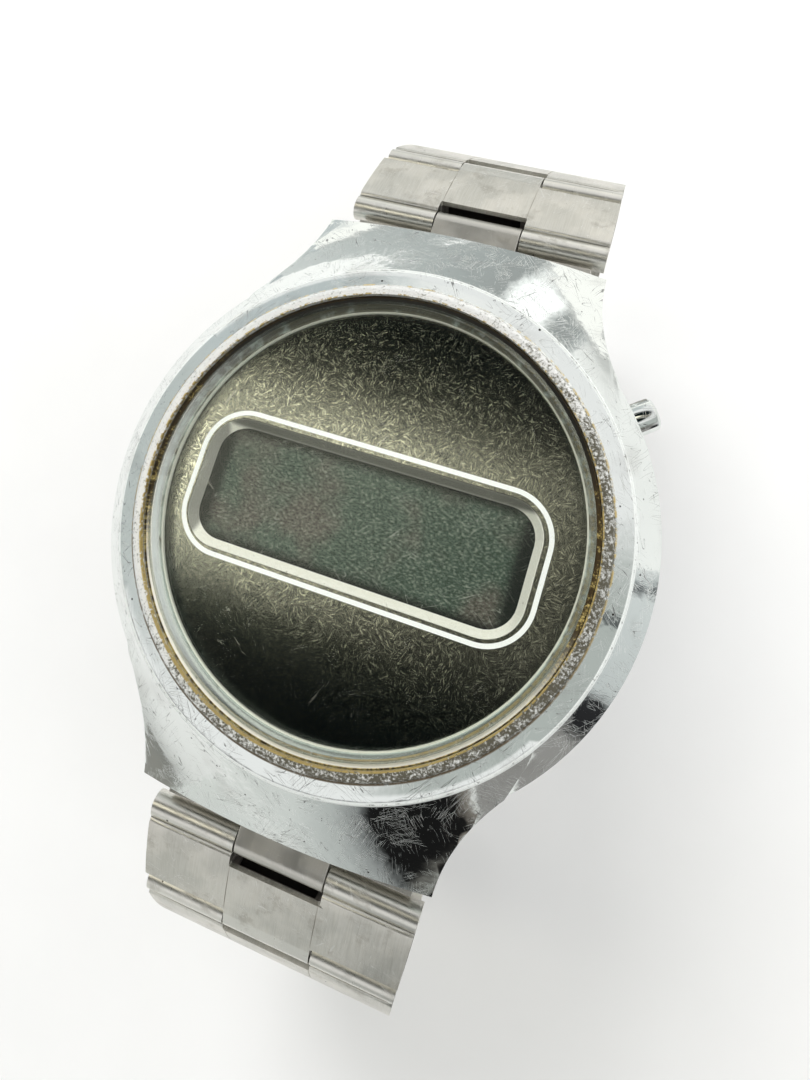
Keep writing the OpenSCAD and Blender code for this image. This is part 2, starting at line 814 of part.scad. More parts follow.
// Lower far corner that folds away, so that the links can bend inwards
module far_chamfer(w, at) {
  translate([0, at, -knuckle_r]) rotate([45, 0, 0]) cube([w + 2, 1, 1], center = true);
}

module link_shell(i) {
  w = width_at(i);
  hollow_from = notch_end + sheet_t;
  hollow_to = side_end - sheet_t;
  hollow_h = knuckle_r + plate_top - 2 * sheet_t;
  difference() {
    union() {
      intersection() {
        union() {
          bar_x(knuckle_r, w);
          link_plate(w, 0.55, side_end);
          translate([-w / 2, 0, -knuckle_r]) cube([w, 1, knuckle_d - 0.1]);
        }
        link_plan(i);
      }
      link_plate(middle_w, notch_end, pitch);
      translate([0, pitch, 0]) bar_x(knuckle_r, middle_w);
    }
    // Notch for the tongue before this link
    translate([-notch_w / 2, -knuckle_d, -knuckle_d])
      cube([notch_w, knuckle_d + notch_end, 3 * knuckle_d]);
    // Space beside this link's own tongue
    for (x = [-1, 1]) translate([x * (w / 2 + middle_w / 2), side_end + knuckle_d, 0])
      cube([w, 2 * knuckle_d, 4 * knuckle_d], center = true);
    far_chamfer(w, side_end);
    // Bores for the pins
    bar_x(pin_d / 2 + run, w + 1);
    translate([0, pitch, 0]) bar_x(pin_d / 2 + seat, middle_w + 1);
    // Hollow between the folded sheets
    translate([-w / 2 - 1, hollow_from, -knuckle_r + sheet_t])
      cube([w + 2, hollow_to - hollow_from, hollow_h]);
    // The hollow opens into the notch
    translate([sheet_t - middle_w / 2, notch_end - sheet_t, -knuckle_r + sheet_t])
      cube([middle_w - 2 * sheet_t, 3 * sheet_t, hollow_h]);
    // Joint lines between the middle and the sides
    for (x = [-1, 1]) translate([x * middle_w / 2, pitch / 2, plate_top + plate_crown / 2])
      cube([0.06, pitch, 0.16], center = true);
  }
}

module link_pin(i) {
  l = i < links ? width_at(i) - 0.6 : clasp_w - 0.3;
  bar_x(pin_d / 2, l);
}

module upper_link(i) {
  color("silver") place_link(i - 1) link_shell(i - 1);
}

module lower_link(i) {
  color("silver") mirror([0, 1, 0]) place_link(i - 1) link_shell(i - 1);
}

module upper_pin(i) {
  color("gray") place_link(i - 1) link_pin(i - 1);
}

module lower_pin(i) {
  color("gray") mirror([0, 1, 0]) place_link(i - 1) link_pin(i - 1);
}

// Clasp. Its plates are curved sheets about the clasp axis, which lies along X above the clasp.

// Sheet of one thickness between two angles from straight down, positive towards 12 o'clock
module curved_sheet(w, gap, t, from, to) {
  r = clasp_r + gap;
  reach = clasp_r + 20;
  translate([0, 0, clasp_axis_z]) intersection() {
    difference() {
      bar_x(r + t, w, $fn = 360);
      bar_x(r, w + 2, $fn = 360);
    }
    rotate([90, 0, 90]) translate([0, 0, -w / 2 - 0.5]) linear_extrude(w + 1) polygon([
      [0, 0], [reach * sin(from), -reach * cos(from)], [reach * sin(to), -reach * cos(to)]]);
  }
}

// Moves its children to a distance from the pin circle and an angle from straight down
module at_clasp(gap, angle) {
  r = clasp_r + gap;
  translate([0, r * sin(angle), clasp_axis_z - r * cos(angle)]) rotate([angle, 0, 0]) children();
}

// Turn of the clasp that covers a length along the pin circle
function turn(l) = 180 * l / (PI * clasp_r);

module cover_pin() {
  color("gray") at_clasp(0, half_turn) link_pin(links);
}

module clasp_cover() {
  side_h = cover_gap + knuckle_r - 0.1;
  start = turn(cover_lead) - half_turn;
  color("silver") difference() {
    union() {
      curved_sheet(clasp_w, cover_gap, cover_t, start, half_turn - turn(0.3));
      // Sides with round ends about the hinge pin, so that the cover can swing out
      for (x = [-1, 1]) translate([x * (clasp_w - cover_t) / 2, 0, 0]) {
        curved_sheet(cover_t, cover_gap - side_h, side_h + cover_t, start, half_turn);
        at_clasp(0, half_turn) bar_x(knuckle_r, cover_t);
      }
      // Eyes for the fold pin, under the plate at the 6 o'clock end
      for (x = [-1, 1]) translate([x * (middle_blade_w / 2 + 0.75), 0, 0])
        at_clasp(fold_pin_gap, -fold_turn) {
          bar_x(fold_knuckle_r, 1);
          translate([0, 0, -0.6]) cube([1, 2 * fold_knuckle_r, 1.2], center = true);
        }
    }
    at_clasp(0, half_turn) bar_x(pin_d / 2 + seat, clasp_w + 2);
    at_clasp(fold_pin_gap, -fold_turn) bar_x(fold_pin_d / 2 + seat, middle_blade_w + 4);
  }
}

module fold_pin_cover() {
  color("gray") at_clasp(fold_pin_gap, -fold_turn)
    bar_x(fold_pin_d / 2, middle_blade_w + 2.4);
}

module middle_blade() {
  eye_w = 1.4;
  color("lightgray") difference() {
    union() {
      curved_sheet(middle_blade_w, middle_gap, blade_t, -fold_turn, fold_turn);
      at_clasp(fold_pin_gap, -fold_turn) bar_x(fold_knuckle_r, middle_blade_w);
      for (x = [-1, 1]) translate([x * (middle_blade_w - eye_w) / 2, 0, 0])
        at_clasp(0, fold_turn) bar_x(fold_knuckle_r, eye_w);
    }
    at_clasp(fold_pin_gap, -fold_turn) bar_x(fold_pin_d / 2 + run, middle_blade_w + 2);
    at_clasp(0, fold_turn) bar_x(fold_pin_d / 2 + seat, middle_blade_w + 2);
    // Room for the inner blade's knuckle
    at_clasp(0, fold_turn)
      cube([inner_blade_w + 0.2, 2 * fold_knuckle_r + 0.5, 4], center = true);
    // Long window that lightens the blade
    translate([0, 0, clasp_z - clasp_r])
      pill(middle_blade_w - 6, clasp_y, 2, 0, 2 * clasp_r);
  }
}

module fold_pin_blades() {
  color("gray") at_clasp(0, fold_turn) bar_x(fold_pin_d / 2, middle_blade_w - 0.2);
}

module inner_blade() {
  ear_x = middle_w / 2 + 0.2 + ear_t / 2;
  notch = middle_w + 0.4;
  color("lightgray") difference() {
    union() {
      curved_sheet(inner_blade_w, inner_gap, blade_t, -half_turn, fold_turn);
      at_clasp(0, fold_turn) bar_x(fold_knuckle_r, inner_blade_w);
      for (x = [-1, 1]) translate([x * ear_x, 0, 0]) at_clasp(0, -half_turn) {
        bar_x(ear_r, ear_t);
        translate([0, 0.6, 0.2]) cube([ear_t, 1.2, 1.3], center = true);
      }
    }
    at_clasp(0, fold_turn) bar_x(fold_pin_d / 2 + run, inner_blade_w + 2);
    at_clasp(0, -half_turn) bar_x(pin_d / 2 + seat, inner_blade_w + 2);
    // Notch round the last link's tongue
    at_clasp(0, -half_turn)
      cube([notch, 2 * knuckle_d + 0.6, 6], center = true);
  }
}

// Pressed into the inner blade's ears on both sides of the last link's tongue
module last_pin() {
  color("gray") at_clasp(0, -half_turn) for (x = [-1, 1])
    translate([x * (middle_w / 2 + 0.2 + ear_t / 2), 0, 0]) bar_x(pin_d / 2, ear_t - 0.1);
}

// Nodes

case_middle();
case_back();
back_gasket();
crystal();
crystal_gasket();
dial();
window_frame();
front_glass();
rear_glass();
reflector();
lamp();
zebra_strips();
circuit_board();
driver_chip();
quartz_can();
trimmer();
module_frame();
battery();
battery_clip();
contact_spring();
pusher();
pusher_tube();
pusher_spring();
pusher_seal();
pusher_clip();
spring_bars();
upper_end_link();
lower_end_link();
for (i = [1:links]) {
  upper_link(i);
  upper_pin(i);
  lower_link(i);
  lower_pin(i);
}
cover_pin();
clasp_cover();
middle_blade();
inner_blade();
fold_pin_cover();
fold_pin_blades();
last_pin();
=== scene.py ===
# Round digital watch on a folded link bracelet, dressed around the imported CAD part.
# Metres, in the CAD frame: +Z comes out of the dial, +X is 3 o'clock, +Y is 12 o'clock.
import json
import math

import bpy
from mathutils import Matrix, Vector


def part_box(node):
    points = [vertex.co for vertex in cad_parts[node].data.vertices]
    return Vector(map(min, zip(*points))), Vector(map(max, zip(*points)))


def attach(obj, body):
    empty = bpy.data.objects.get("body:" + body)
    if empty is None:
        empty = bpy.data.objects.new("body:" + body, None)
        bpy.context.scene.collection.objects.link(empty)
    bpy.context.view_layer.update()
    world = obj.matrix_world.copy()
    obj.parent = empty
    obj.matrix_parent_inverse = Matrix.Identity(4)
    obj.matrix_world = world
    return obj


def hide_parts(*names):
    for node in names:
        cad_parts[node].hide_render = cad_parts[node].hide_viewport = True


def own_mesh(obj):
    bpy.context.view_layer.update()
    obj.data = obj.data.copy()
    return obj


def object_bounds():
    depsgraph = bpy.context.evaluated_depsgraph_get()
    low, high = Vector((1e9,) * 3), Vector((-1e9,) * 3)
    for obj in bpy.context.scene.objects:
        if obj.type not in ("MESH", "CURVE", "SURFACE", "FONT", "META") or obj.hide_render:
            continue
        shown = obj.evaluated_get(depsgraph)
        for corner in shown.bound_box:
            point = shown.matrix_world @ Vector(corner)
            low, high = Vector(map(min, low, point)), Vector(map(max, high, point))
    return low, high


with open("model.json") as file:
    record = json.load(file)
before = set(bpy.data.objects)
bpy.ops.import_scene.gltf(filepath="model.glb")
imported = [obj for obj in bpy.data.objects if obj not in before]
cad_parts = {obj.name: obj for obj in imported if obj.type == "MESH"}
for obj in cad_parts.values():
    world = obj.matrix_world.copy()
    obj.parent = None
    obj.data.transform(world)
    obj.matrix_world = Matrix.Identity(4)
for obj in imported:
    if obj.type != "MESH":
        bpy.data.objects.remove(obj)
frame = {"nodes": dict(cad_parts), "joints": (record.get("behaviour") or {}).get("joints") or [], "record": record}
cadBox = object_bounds()
nodes = frame["nodes"]
record = frame["record"]
joints = {joint["name"]: joint for joint in frame["joints"]}
slotOf = {part["node"]: part["material_slot"] for part in record["subparts"]}
bodyOf = {node: body for body, members in record["behaviour"]["bodies"].items()
          for node in members}
mm = 0.001
print("stage: frame loaded,", len(nodes), "CAD nodes")


# Shader maths

markLook = {
    # scratches: how far each turn's noise is moved, and the size and soft edge of their patches
    "shift": (7, 3, 1), "patch": 0.3, "patchStep": 0.13, "patchEdge": 0.1,
    # dots: soft edge of the choice of cells
    "cellEdge": 0.02,
}


class Wire:
    # An output socket of a recipe. Sums and products on it add Math nodes.
    def __init__(self, recipe, socket):
        self.recipe, self.socket = recipe, socket

    def math(self, operation, *values):
        return self.recipe.node("Math", {"operation": operation}, dict(enumerate(values)))

    def __add__(self, other):
        return self.math("ADD", self, other)

    def __sub__(self, other):
        return self.math("SUBTRACT", self, other)

    def __rsub__(self, other):
        return self.math("SUBTRACT", other, self)

    def __mul__(self, other):
        return self.math("MULTIPLY", self, other)

    __radd__ = __add__
    __rmul__ = __mul__

    def __abs__(self):
        return self.math("ABSOLUTE", self)

    def most(self, other):
        return self.math("MAXIMUM", self, other)

    def least(self, other):
        return self.math("MINIMUM", self, other)


class Recipe:
    # The node tree of one material or of the world
    def __init__(self, owner):
        owner.use_nodes = True
        self.owner, self.tree = owner, owner.node_tree
        self.tree.nodes.clear()

    def node(self, kind, settings=None, inputs=None, output=0):
        made = self.tree.nodes.new("ShaderNode" + kind)
        for name, value in (settings or {}).items():
            if name == "stops":
                ramp = made.color_ramp
                for place, colour in value[2:]:
                    ramp.elements.new(place)
                for element, (place, colour) in zip(ramp.elements, value):
                    element.position, element.color = place, (*colour, 1)
            else:
                setattr(made, name, value)
        for name, value in (inputs or {}).items():
            if isinstance(value, Wire):
                self.tree.links.new(value.socket, made.inputs[name])
            else:
                made.inputs[name].default_value = value
        return Wire(self, made.outputs[output]) if made.outputs else made

    def place(self):
        # Object coordinates in millimetres
        at = self.node("TexCoord", output="Object")
        return self.node("VectorMath", {"operation": "SCALE"}, {0: at, "Scale": 1 / mm})

    def parts(self, vector):
        split = self.node("SeparateXYZ", None, {0: vector}).socket.node
        return [Wire(self, socket) for socket in split.outputs]

    def radius(self, vector):
        flat = self.node("VectorMath", {"operation": "MULTIPLY"}, {0: vector, 1: (1, 1, 0)})
        return self.node("VectorMath", {"operation": "LENGTH"}, {0: flat}, "Value")

    def scaled(self, vector, scale, turn=0, shift=(0, 0, 0)):
        return self.node("Mapping", None, {
            "Vector": vector, "Scale": scale, "Location": shift,
            "Rotation": (0, 0, math.radians(turn))})

    def noise(self, vector, scale=1.0, detail=2.0, rough=0.5, output=0):
        return self.node("TexNoise", None, {
            "Vector": vector, "Scale": scale, "Detail": detail, "Roughness": rough}, output)

    def step(self, value, low, high, start=0.0, end=1.0):
        return self.node("MapRange", {"interpolation_type": "SMOOTHSTEP"}, {
            0: value, 1: low, 2: high, 3: start, 4: end})

    def fade(self, value, low, high):
        return self.step(value, low, high, 1.0, 0.0)

    def band(self, value, middle, half, soft):
        # 1 within half of the middle, 0 beyond half plus soft
        return self.fade(abs(value - middle), half, half + soft)

    def mix(self, share, first, second):
        return self.node("Mix", {"data_type": "RGBA"}, {
            0: share, 6: self.colour(first), 7: self.colour(second)}, 2)

    def colour(self, value):
        return value if isinstance(value, Wire) else (*value, 1)

    def bump(self, height, depth, under=None):
        # depth is in millimetres
        inputs = {"Height": height, "Distance": depth * mm}
        if under:
            inputs["Normal"] = under
        return self.node("Bump", None, inputs)

    def hairlines(self, vector, turns, across, along, width, kept):
        # Fine scratches: level lines of a noise stretched along each turn, kept in patches
        look = markLook
        found = None
        for i, turn in enumerate(turns):
            shift = [i * value for value in look["shift"]]
            turned = self.scaled(self.scaled(vector, (1, 1, 1), turn), (across, along, along),
                                 shift=shift)
            line = self.fade(abs(self.noise(turned, 1, 1) - 0.5), 0.0, width)
            patch = self.noise(vector, look["patch"] + look["patchStep"] * i, 1)
            line = line * self.step(patch, kept, kept + look["patchEdge"])
            found = line if found is None else found.most(line)
        return found

    def pits(self, vector, scale, size, share):
        # Small dots, one in a share of the cells
        inputs = {"Vector": vector, "Scale": scale}
        near = self.node("TexVoronoi", None, inputs, "Distance")
        which = self.parts(self.node("TexVoronoi", None, inputs, "Color"))[0]
        chosen = self.step(which, 1 - share, 1 + markLook["cellEdge"] - share)
        return self.fade(near, size / 2, size) * chosen

    def surface(self, base, metallic, roughness, **others):
        inputs = {"Base Color": self.colour(base), "Metallic": metallic, "Roughness": roughness}
        for name, value in others.items():
            inputs[name.replace("_", " ")] = value
        return self.node("BsdfPrincipled", None, inputs)

    def finish(self, surface):
        kind = "OutputWorld" if isinstance(self.owner, bpy.types.World) else "OutputMaterial"
        self.node(kind, None, {"Surface": surface})
        return self.owner


def newRecipe(name):
    return Recipe(bpy.data.materials.new(name))


# Case finish

caseLook = {
    "chrome": (0.79, 0.82, 0.80), "haze": (0.68, 0.70, 0.68), "scratch": (0.93, 0.93, 0.93),
    "pit": (0.03, 0.028, 0.025), "silver": (0.90, 0.90, 0.88), "worn": (0.36, 0.36, 0.33),
    "corroded": (0.13, 0.12, 0.09), "grime": (0.10, 0.062, 0.020), "gold": (0.50, 0.38, 0.14),
    "innerWall": (0.80, 0.79, 0.70),
    # radii in mm: a fade from one to the other, or the middle, half and soft edge of a band
    "lip": (16.02, 16.10), "wall": (15.19, 15.24), "footBand": (16.06, 0.03, 0.07),
    "rimBand": (15.25, 0.05, 0.08), "crease": (17.3, 0.015, 0.05), "rubbed": (17.3, 0.10, 0.06),
    # heights in mm above which each one starts
    "lipFrom": (9.7, 9.82), "footFrom": (9.55, 9.7), "rimFrom": (9.7, 9.9), "facet": (9.1, 9.2),
    # scratches: turns in degrees, size per mm across and along, width, where they are kept
    "fine": ((18, 52, 97, 139, 166), 4.0, 0.22, 0.010, 0.50),
    "deep": ((33, 78, 121, 150), 2.2, 0.22, 0.006, 0.52),
    # dots: cells per mm, size, share of the cells
    "pits": (0.9, 0.10, 0.30), "specks": (2.3, 0.14, 0.08),
    # noises: size per mm, detail, roughness
    "cloud": (0.22, 3), "grain": (5.2, 4, 0.7), "spots": (1.1, 3, 0.6), "crust": (2.2, 3, 0.6),
    "gilt": (3.5, 3, 0.6), "dashes": (2.4, 4, 0.7), "waves": (0.35, 3),
    # where a noise starts to show and where it is full
    "hazy": (0.52, 0.70), "wornAt": (0.60, 0.80), "corrodedAt": (0.83, 0.94),
    "crustAt": (0.36, 0.54), "giltAt": (0.40, 0.52), "dashesAt": (0.54, 0.66),
    # the side where the lip wears: its direction, then the places in mm and values it runs
    # between, and the places between which grime turns to gold along y
    "sideWay": (0.8, -0.6), "side": (-12, 13, -0.08, 0.15), "goldSide": (-9, 4),
    # shares of the spots in wear and corrosion, and what crust and gilt lose per mm of y
    "wornSpots": 0.30, "corrodedSpots": 0.50, "crustDrift": 0.008, "giltDrift": 0.006,
    # depths in mm, the height of the plain surface and of the fine scratches
    "waveDepth": 0.05, "markDepth": 0.005, "grainDepth": 0.05, "level": 0.6, "fineHeight": 0.4,
    # how strongly each mark tints the surface, roughens it and takes its metal away
    "tint": {"fine": 0.35, "deep": 0.7, "crease": 0.6, "foot": 0.9},
    "rough": {"plain": 0.06, "hazy": 0.08, "fine": 0.12, "deep": 0.2, "lip": 0.28, "wall": 0.3,
              "foot": 0.5, "dots": 0.6, "rubbed": 0.3},
    "dull": {"foot": 0.8, "rubbed": 0.8, "lip": 0.4},
}


def wornChrome():
    look = caseLook
    r = newRecipe("wornChrome")
    at = r.place()
    x, y, z = r.parts(at)
    radius = r.radius(at)
    hazy = r.step(r.noise(at, *look["cloud"]), *look["hazy"])
    fine = r.hairlines(at, *look["fine"])
    deep = r.hairlines(at, *look["deep"])
    dots = r.pits(at, *look["pits"]).most(r.pits(at, *look["specks"]))
    # The lip: fine silver grains, clean at 10 o'clock and most corroded from 2 to 5 o'clock
    lip = r.fade(radius, *look["lip"]) * r.step(z, *look["lipFrom"])
    grain = r.noise(at, *look["grain"])
    spots = r.noise(at, *look["spots"])
    sideX, sideY = look["sideWay"]
    side = r.step(sideX * x + sideY * y, *look["side"])
    worn = r.step(grain + look["wornSpots"] * spots + side, *look["wornAt"])
    corroded = r.step(grain + look["corrodedSpots"] * spots + side, *look["corrodedAt"])
    # Grime in the foot of the lip, and a golden line on its inner edge
    crust = r.noise(at, *look["crust"]) - look["crustDrift"] * y
    foot = r.band(radius, *look["footBand"]) * r.step(z, *look["footFrom"])
    foot = foot * r.step(crust, *look["crustAt"])
    gilt = r.noise(at, *look["gilt"]) - look["giltDrift"] * y
    rim = r.band(radius, *look["rimBand"]) * r.step(z, *look["rimFrom"])
    rim = rim * r.step(gilt, *look["giltAt"])
    wall = r.fade(radius, *look["wall"])
    # The crease between band and facet is rubbed dull, with short irregular dark dashes
    onFacet = r.step(z, *look["facet"])
    rubbed = r.band(radius, *look["rubbed"]) * onFacet
    crease = r.band(radius, *look["crease"]) * onFacet
    crease = crease * r.step(r.noise(at, *look["dashes"]), *look["dashesAt"])
    tint, rough, dull = look["tint"], look["rough"], look["dull"]
    base = r.mix(hazy, look["chrome"], look["haze"])
    base = r.mix(fine * tint["fine"], base, look["scratch"])
    base = r.mix(deep * tint["deep"], base, look["pit"])
    base = r.mix(dots, base, look["pit"])
    base = r.mix(crease * tint["crease"], base, look["pit"])
    lipTone = r.mix(corroded, r.mix(worn, look["silver"], look["worn"]), look["corroded"])
    base = r.mix(lip, base, lipTone)
    footTone = r.mix(r.step(y, *look["goldSide"]), look["grime"], look["gold"])
    base = r.mix(foot * tint["foot"], base, footTone)
    base = r.mix(rim, base, look["gold"])
    base = r.mix(wall, base, look["innerWall"])
    roughness = rough["plain"] + rough["hazy"] * hazy + rough["fine"] * fine + rough["deep"] * deep
    roughness = roughness.most(lip * rough["lip"]).most(wall * rough["wall"])
    roughness = roughness.most(foot * rough["foot"]).most(dots * rough["dots"])
    roughness = roughness.most(rubbed * rough["rubbed"])
    marks = look["level"] - look["fineHeight"] * fine - deep - dots
    normal = r.bump(r.noise(at, *look["waves"]), look["waveDepth"])
    normal = r.bump(marks, look["markDepth"], normal)
    normal = r.bump(lip * grain, look["grainDepth"], normal)
    dulled = (dull["foot"] * foot).most(wall).most(dull["rubbed"] * rubbed).most(dull["lip"] * lip)
    return r.finish(r.surface(base, 1 - dulled, roughness, Normal=normal))


# Bracelet and clasp finishes

linkLook = {
    "plate": (0.56, 0.55, 0.50), "warm": (0.68, 0.66, 0.60), "roll": (0.76, 0.75, 0.70),
    # seam is also the colour of the painted shade inside the fold and the notch
    "seam": (0.035, 0.03, 0.025), "scratch": (0.86, 0.85, 0.82), "stain": (0.34, 0.31, 0.25),
    # size of the brushing and of its streaks per mm across and along
    "hair": (16, 0.55, 0.55), "streak": (3.2, 0.30, 0.30),
    "cloud": (0.30, 3), "blot": (0.55, 4, 0.7), "gap": (0.25, 1),
    "nicks": ((15, 48, 104, 150), 3.0, 0.30, 0.009, 0.50), "pits": (0.8, 0.09, 0.20),
    # where a noise starts to show and where it is full
    "warmAt": (0.38, 0.60), "hairAt": (0.38, 0.62), "stainAt": (0.53, 0.68), "gapAt": (0.38, 0.50),
    # places in mm: across the link, along it from its first pin, and over its pins
    "besideTongue": (3.40, 3.50), "firstRoll": (0.5, 0.75), "lastRoll": (5.95, 6.2),
    "seamAt": (0.5, 0.015, 0.05), "seamRise": (0.5, 0.7),
    "joinAt": (3.45, 0.01, 0.05), "joinSpan": (3.5, 1.9, 0.2), "joinRise": (0.8, 1.0),
    "hollow": (3.5, 2.1, 0.04), "hollowRise": (0.075, 0.70, 0.03),
    "notch": (6.6, 7.3), "notchRise": (0.55, -0.2),
    # depths in mm, and the share of the brushing that the rolls lose
    "hairDepth": 0.0025, "waveDepth": 0.05, "markDepth": 0.015, "polished": 0.85,
    # how strongly each mark tints the surface, roughens it and sinks into it
    "tint": {"hair": 0.20, "roll": 0.7, "stain": 0.25, "nicks": 0.6, "seam": 0.6, "join": 0.3},
    "rough": {"plain": 0.27, "hair": 0.08, "streak": 0.10, "roll": -0.06, "stain": 0.12,
              "dirtAndShade": 0.7},
    "sunk": {"streak": 0.3, "join": 0.3, "nicks": 0.4, "dots": 0.5},
}


def brushedLink():
    look = linkLook
    tint, rough, sunk = look["tint"], look["rough"], look["sunk"]
    r = newRecipe("brushedLink")
    at = r.place()
    x = r.parts(at)[0]
    along = r.node("Attribute", {"attribute_name": "along"}, output="Fac")
    rise = r.node("Attribute", {"attribute_name": "rise"}, output="Fac")
    hair = r.noise(r.scaled(at, look["hair"]), 1, 3, 0.6)
    streak = r.noise(r.scaled(at, look["streak"]), 1, 2)
    cloud = r.noise(at, *look["cloud"])
    stain = r.step(r.noise(at, *look["blot"]), *look["stainAt"])
    nicks = r.hairlines(at, *look["nicks"])
    dots = r.pits(at, *look["pits"])
    outer = r.step(abs(x), *look["besideTongue"])
    # Both ends are rolled round their pins and polished by wear
    roll = r.fade(along, *look["firstRoll"])
    roll = roll.most(r.step(along, *look["lastRoll"]) * (1 - outer))
    seam = r.band(along, *look["seamAt"]) * outer * r.step(rise, *look["seamRise"])
    seam = seam * r.step(r.noise(at, *look["gap"]), *look["gapAt"])
    join = r.band(abs(x), *look["joinAt"]) * r.step(rise, *look["joinRise"])
    join = join * r.band(along, *look["joinSpan"]) * tint["join"]
    # Painted shade inside the fold and in the last hollow of the notch
    dirtAndShade = r.band(along, *look["hollow"]) * r.band(rise, *look["hollowRise"])
    under = r.step(rise, *look["notchRise"]) * r.step(along, *look["notch"])
    dirtAndShade = dirtAndShade.most(under * (1 - outer))
    base = r.mix(r.step(cloud, *look["warmAt"]), look["plate"], look["warm"])
    base = r.mix(tint["hair"] * r.step(hair, *look["hairAt"]), base, look["scratch"])
    base = r.mix(roll * tint["roll"], base, look["roll"])
    base = r.mix(stain * tint["stain"], base, look["stain"])
    base = r.mix(nicks * tint["nicks"], base, look["scratch"])
    base = r.mix(dots, base, look["seam"])
    base = r.mix(join, base, look["stain"])
    base = r.mix((seam * tint["seam"]).most(dirtAndShade), base, look["seam"])
    roughness = rough["plain"] + rough["hair"] * hair + rough["streak"] * streak
    roughness = roughness + rough["roll"] * roll + rough["stain"] * stain
    roughness = roughness.most(dirtAndShade * rough["dirtAndShade"])
    normal = r.bump(hair * (1 - look["polished"] * roll), look["hairDepth"])
    waves = cloud + sunk["streak"] * streak * (1 - roll)
    normal = r.bump(waves, look["waveDepth"], normal)
    marks = 1 - seam - sunk["join"] * join - sunk["nicks"] * nicks - sunk["dots"] * dots
    normal = r.bump(marks, look["markDepth"], normal)
    return r.finish(r.surface(base, 1 - dirtAndShade, roughness, Normal=normal))


steelLooks = {
    # tones, size of the brushing per mm across and along, roughness and depth of the lines in mm
    "clasp_steel": {"first": (0.58, 0.57, 0.53), "second": (0.66, 0.64, 0.60),
                    "grain": (12, 0.5, 0.5), "rough": 0.30, "depth": 0.003},
    "back_steel": {"first": (0.56, 0.56, 0.55), "second": (0.66, 0.66, 0.65),
                   "grain": (9, 0.6, 0.6), "rough": 0.28, "depth": 0.003},
    "link_steel": {"first": (0.56, 0.55, 0.51), "second": (0.63, 0.61, 0.56),
                   "grain": (16, 0.6, 0.6), "rough": 0.28, "depth": 0.003},
    "pin_steel": {"first": (0.45, 0.44, 0.42), "second": (0.60, 0.59, 0.56),
                  "grain": (0.8, 9, 9), "rough": 0.26, "depth": 0.003},
    "spring_steel": {"first": (0.48, 0.48, 0.47), "second": (0.62, 0.62, 0.61),
                     "grain": (6, 6, 6), "rough": 0.24, "depth": 0.002},
}
steelWear = {
    # the same on every steel part
    "cloud": (0.3, 3), "cloudAt": (0.38, 0.64), "hairAt": (0.35, 0.65), "waveDepth": 0.03,
    "nicks": ((12, 57, 111, 158), 3.0, 0.3, 0.008, 0.54), "nick": (0.85, 0.84, 0.82),
    "cloudTint": 0.7, "hairTint": 0.3, "nickTint": 0.4, "nickDepth": 0.4,
    "hairRough": 0.14, "cloudRough": 0.08,
}


def brushedSteel(slot):
    look, wear = steelLooks[slot], steelWear
    r = newRecipe("brushed_" + slot)
    at = r.place()
    hair = r.noise(r.scaled(at, look["grain"]), 1, 4, 0.6)
    cloud = r.step(r.noise(at, *wear["cloud"]), *wear["cloudAt"])
    nicks = r.hairlines(at, *wear["nicks"])
    tone = wear["cloudTint"] * cloud + wear["hairTint"] * r.step(hair, *wear["hairAt"])
    base = r.mix(tone, look["first"], look["second"])
    base = r.mix(nicks * wear["nickTint"], base, wear["nick"])
    roughness = look["rough"] + wear["hairRough"] * hair + wear["cloudRough"] * cloud
    normal = r.bump(hair - wear["nickDepth"] * nicks, look["depth"])
    normal = r.bump(cloud, wear["waveDepth"], normal)
    return r.finish(r.surface(base, 1.0, roughness, Normal=normal))


# Dial, window and display finishes

dialLook = {
    # shine is the tone of the painted glints on the highest strokes
    "metal": (0.26, 0.26, 0.225), "paintedGlint": (0.70, 0.69, 0.59), "dark": (0.10, 0.105, 0.095),
    "black": (0.030, 0.040, 0.042), "speck": (0.6, 0.58, 0.5),
    # two layers of patches: their number per mm, and how far the layer is moved
    "layers": ((1.3, 0), (1.885, 5)), "wobble": (1.5, 1), "bend": (0.9, 0.9, 0),
    # strokes in a patch: size per mm across and along, depth in mm
    "stroke": (12, 1.45, 1), "depth": 0.003, "rough": 0.14, "glintRough": 0.08,
    "cloud": (0.18, 2), "dust": (1.6, 0.07, 0.10),
    # where a noise starts to show and where it is full
    "glintAt": (0.56, 0.72), "darkAt": (0.50, 0.40), "cloudAt": (0.45, 0.65),
    # the painted shade that turns the end towards 7 o'clock black, and the shade at the edge, in mm
    "low": (-5, -13), "slant": 0.3, "rim": (13.85, 14.1),
    # how strongly each one tints the metal
    "tint": {"cloud": 0.2, "dust": 0.6, "rim": 0.5, "low": 0.6},
}


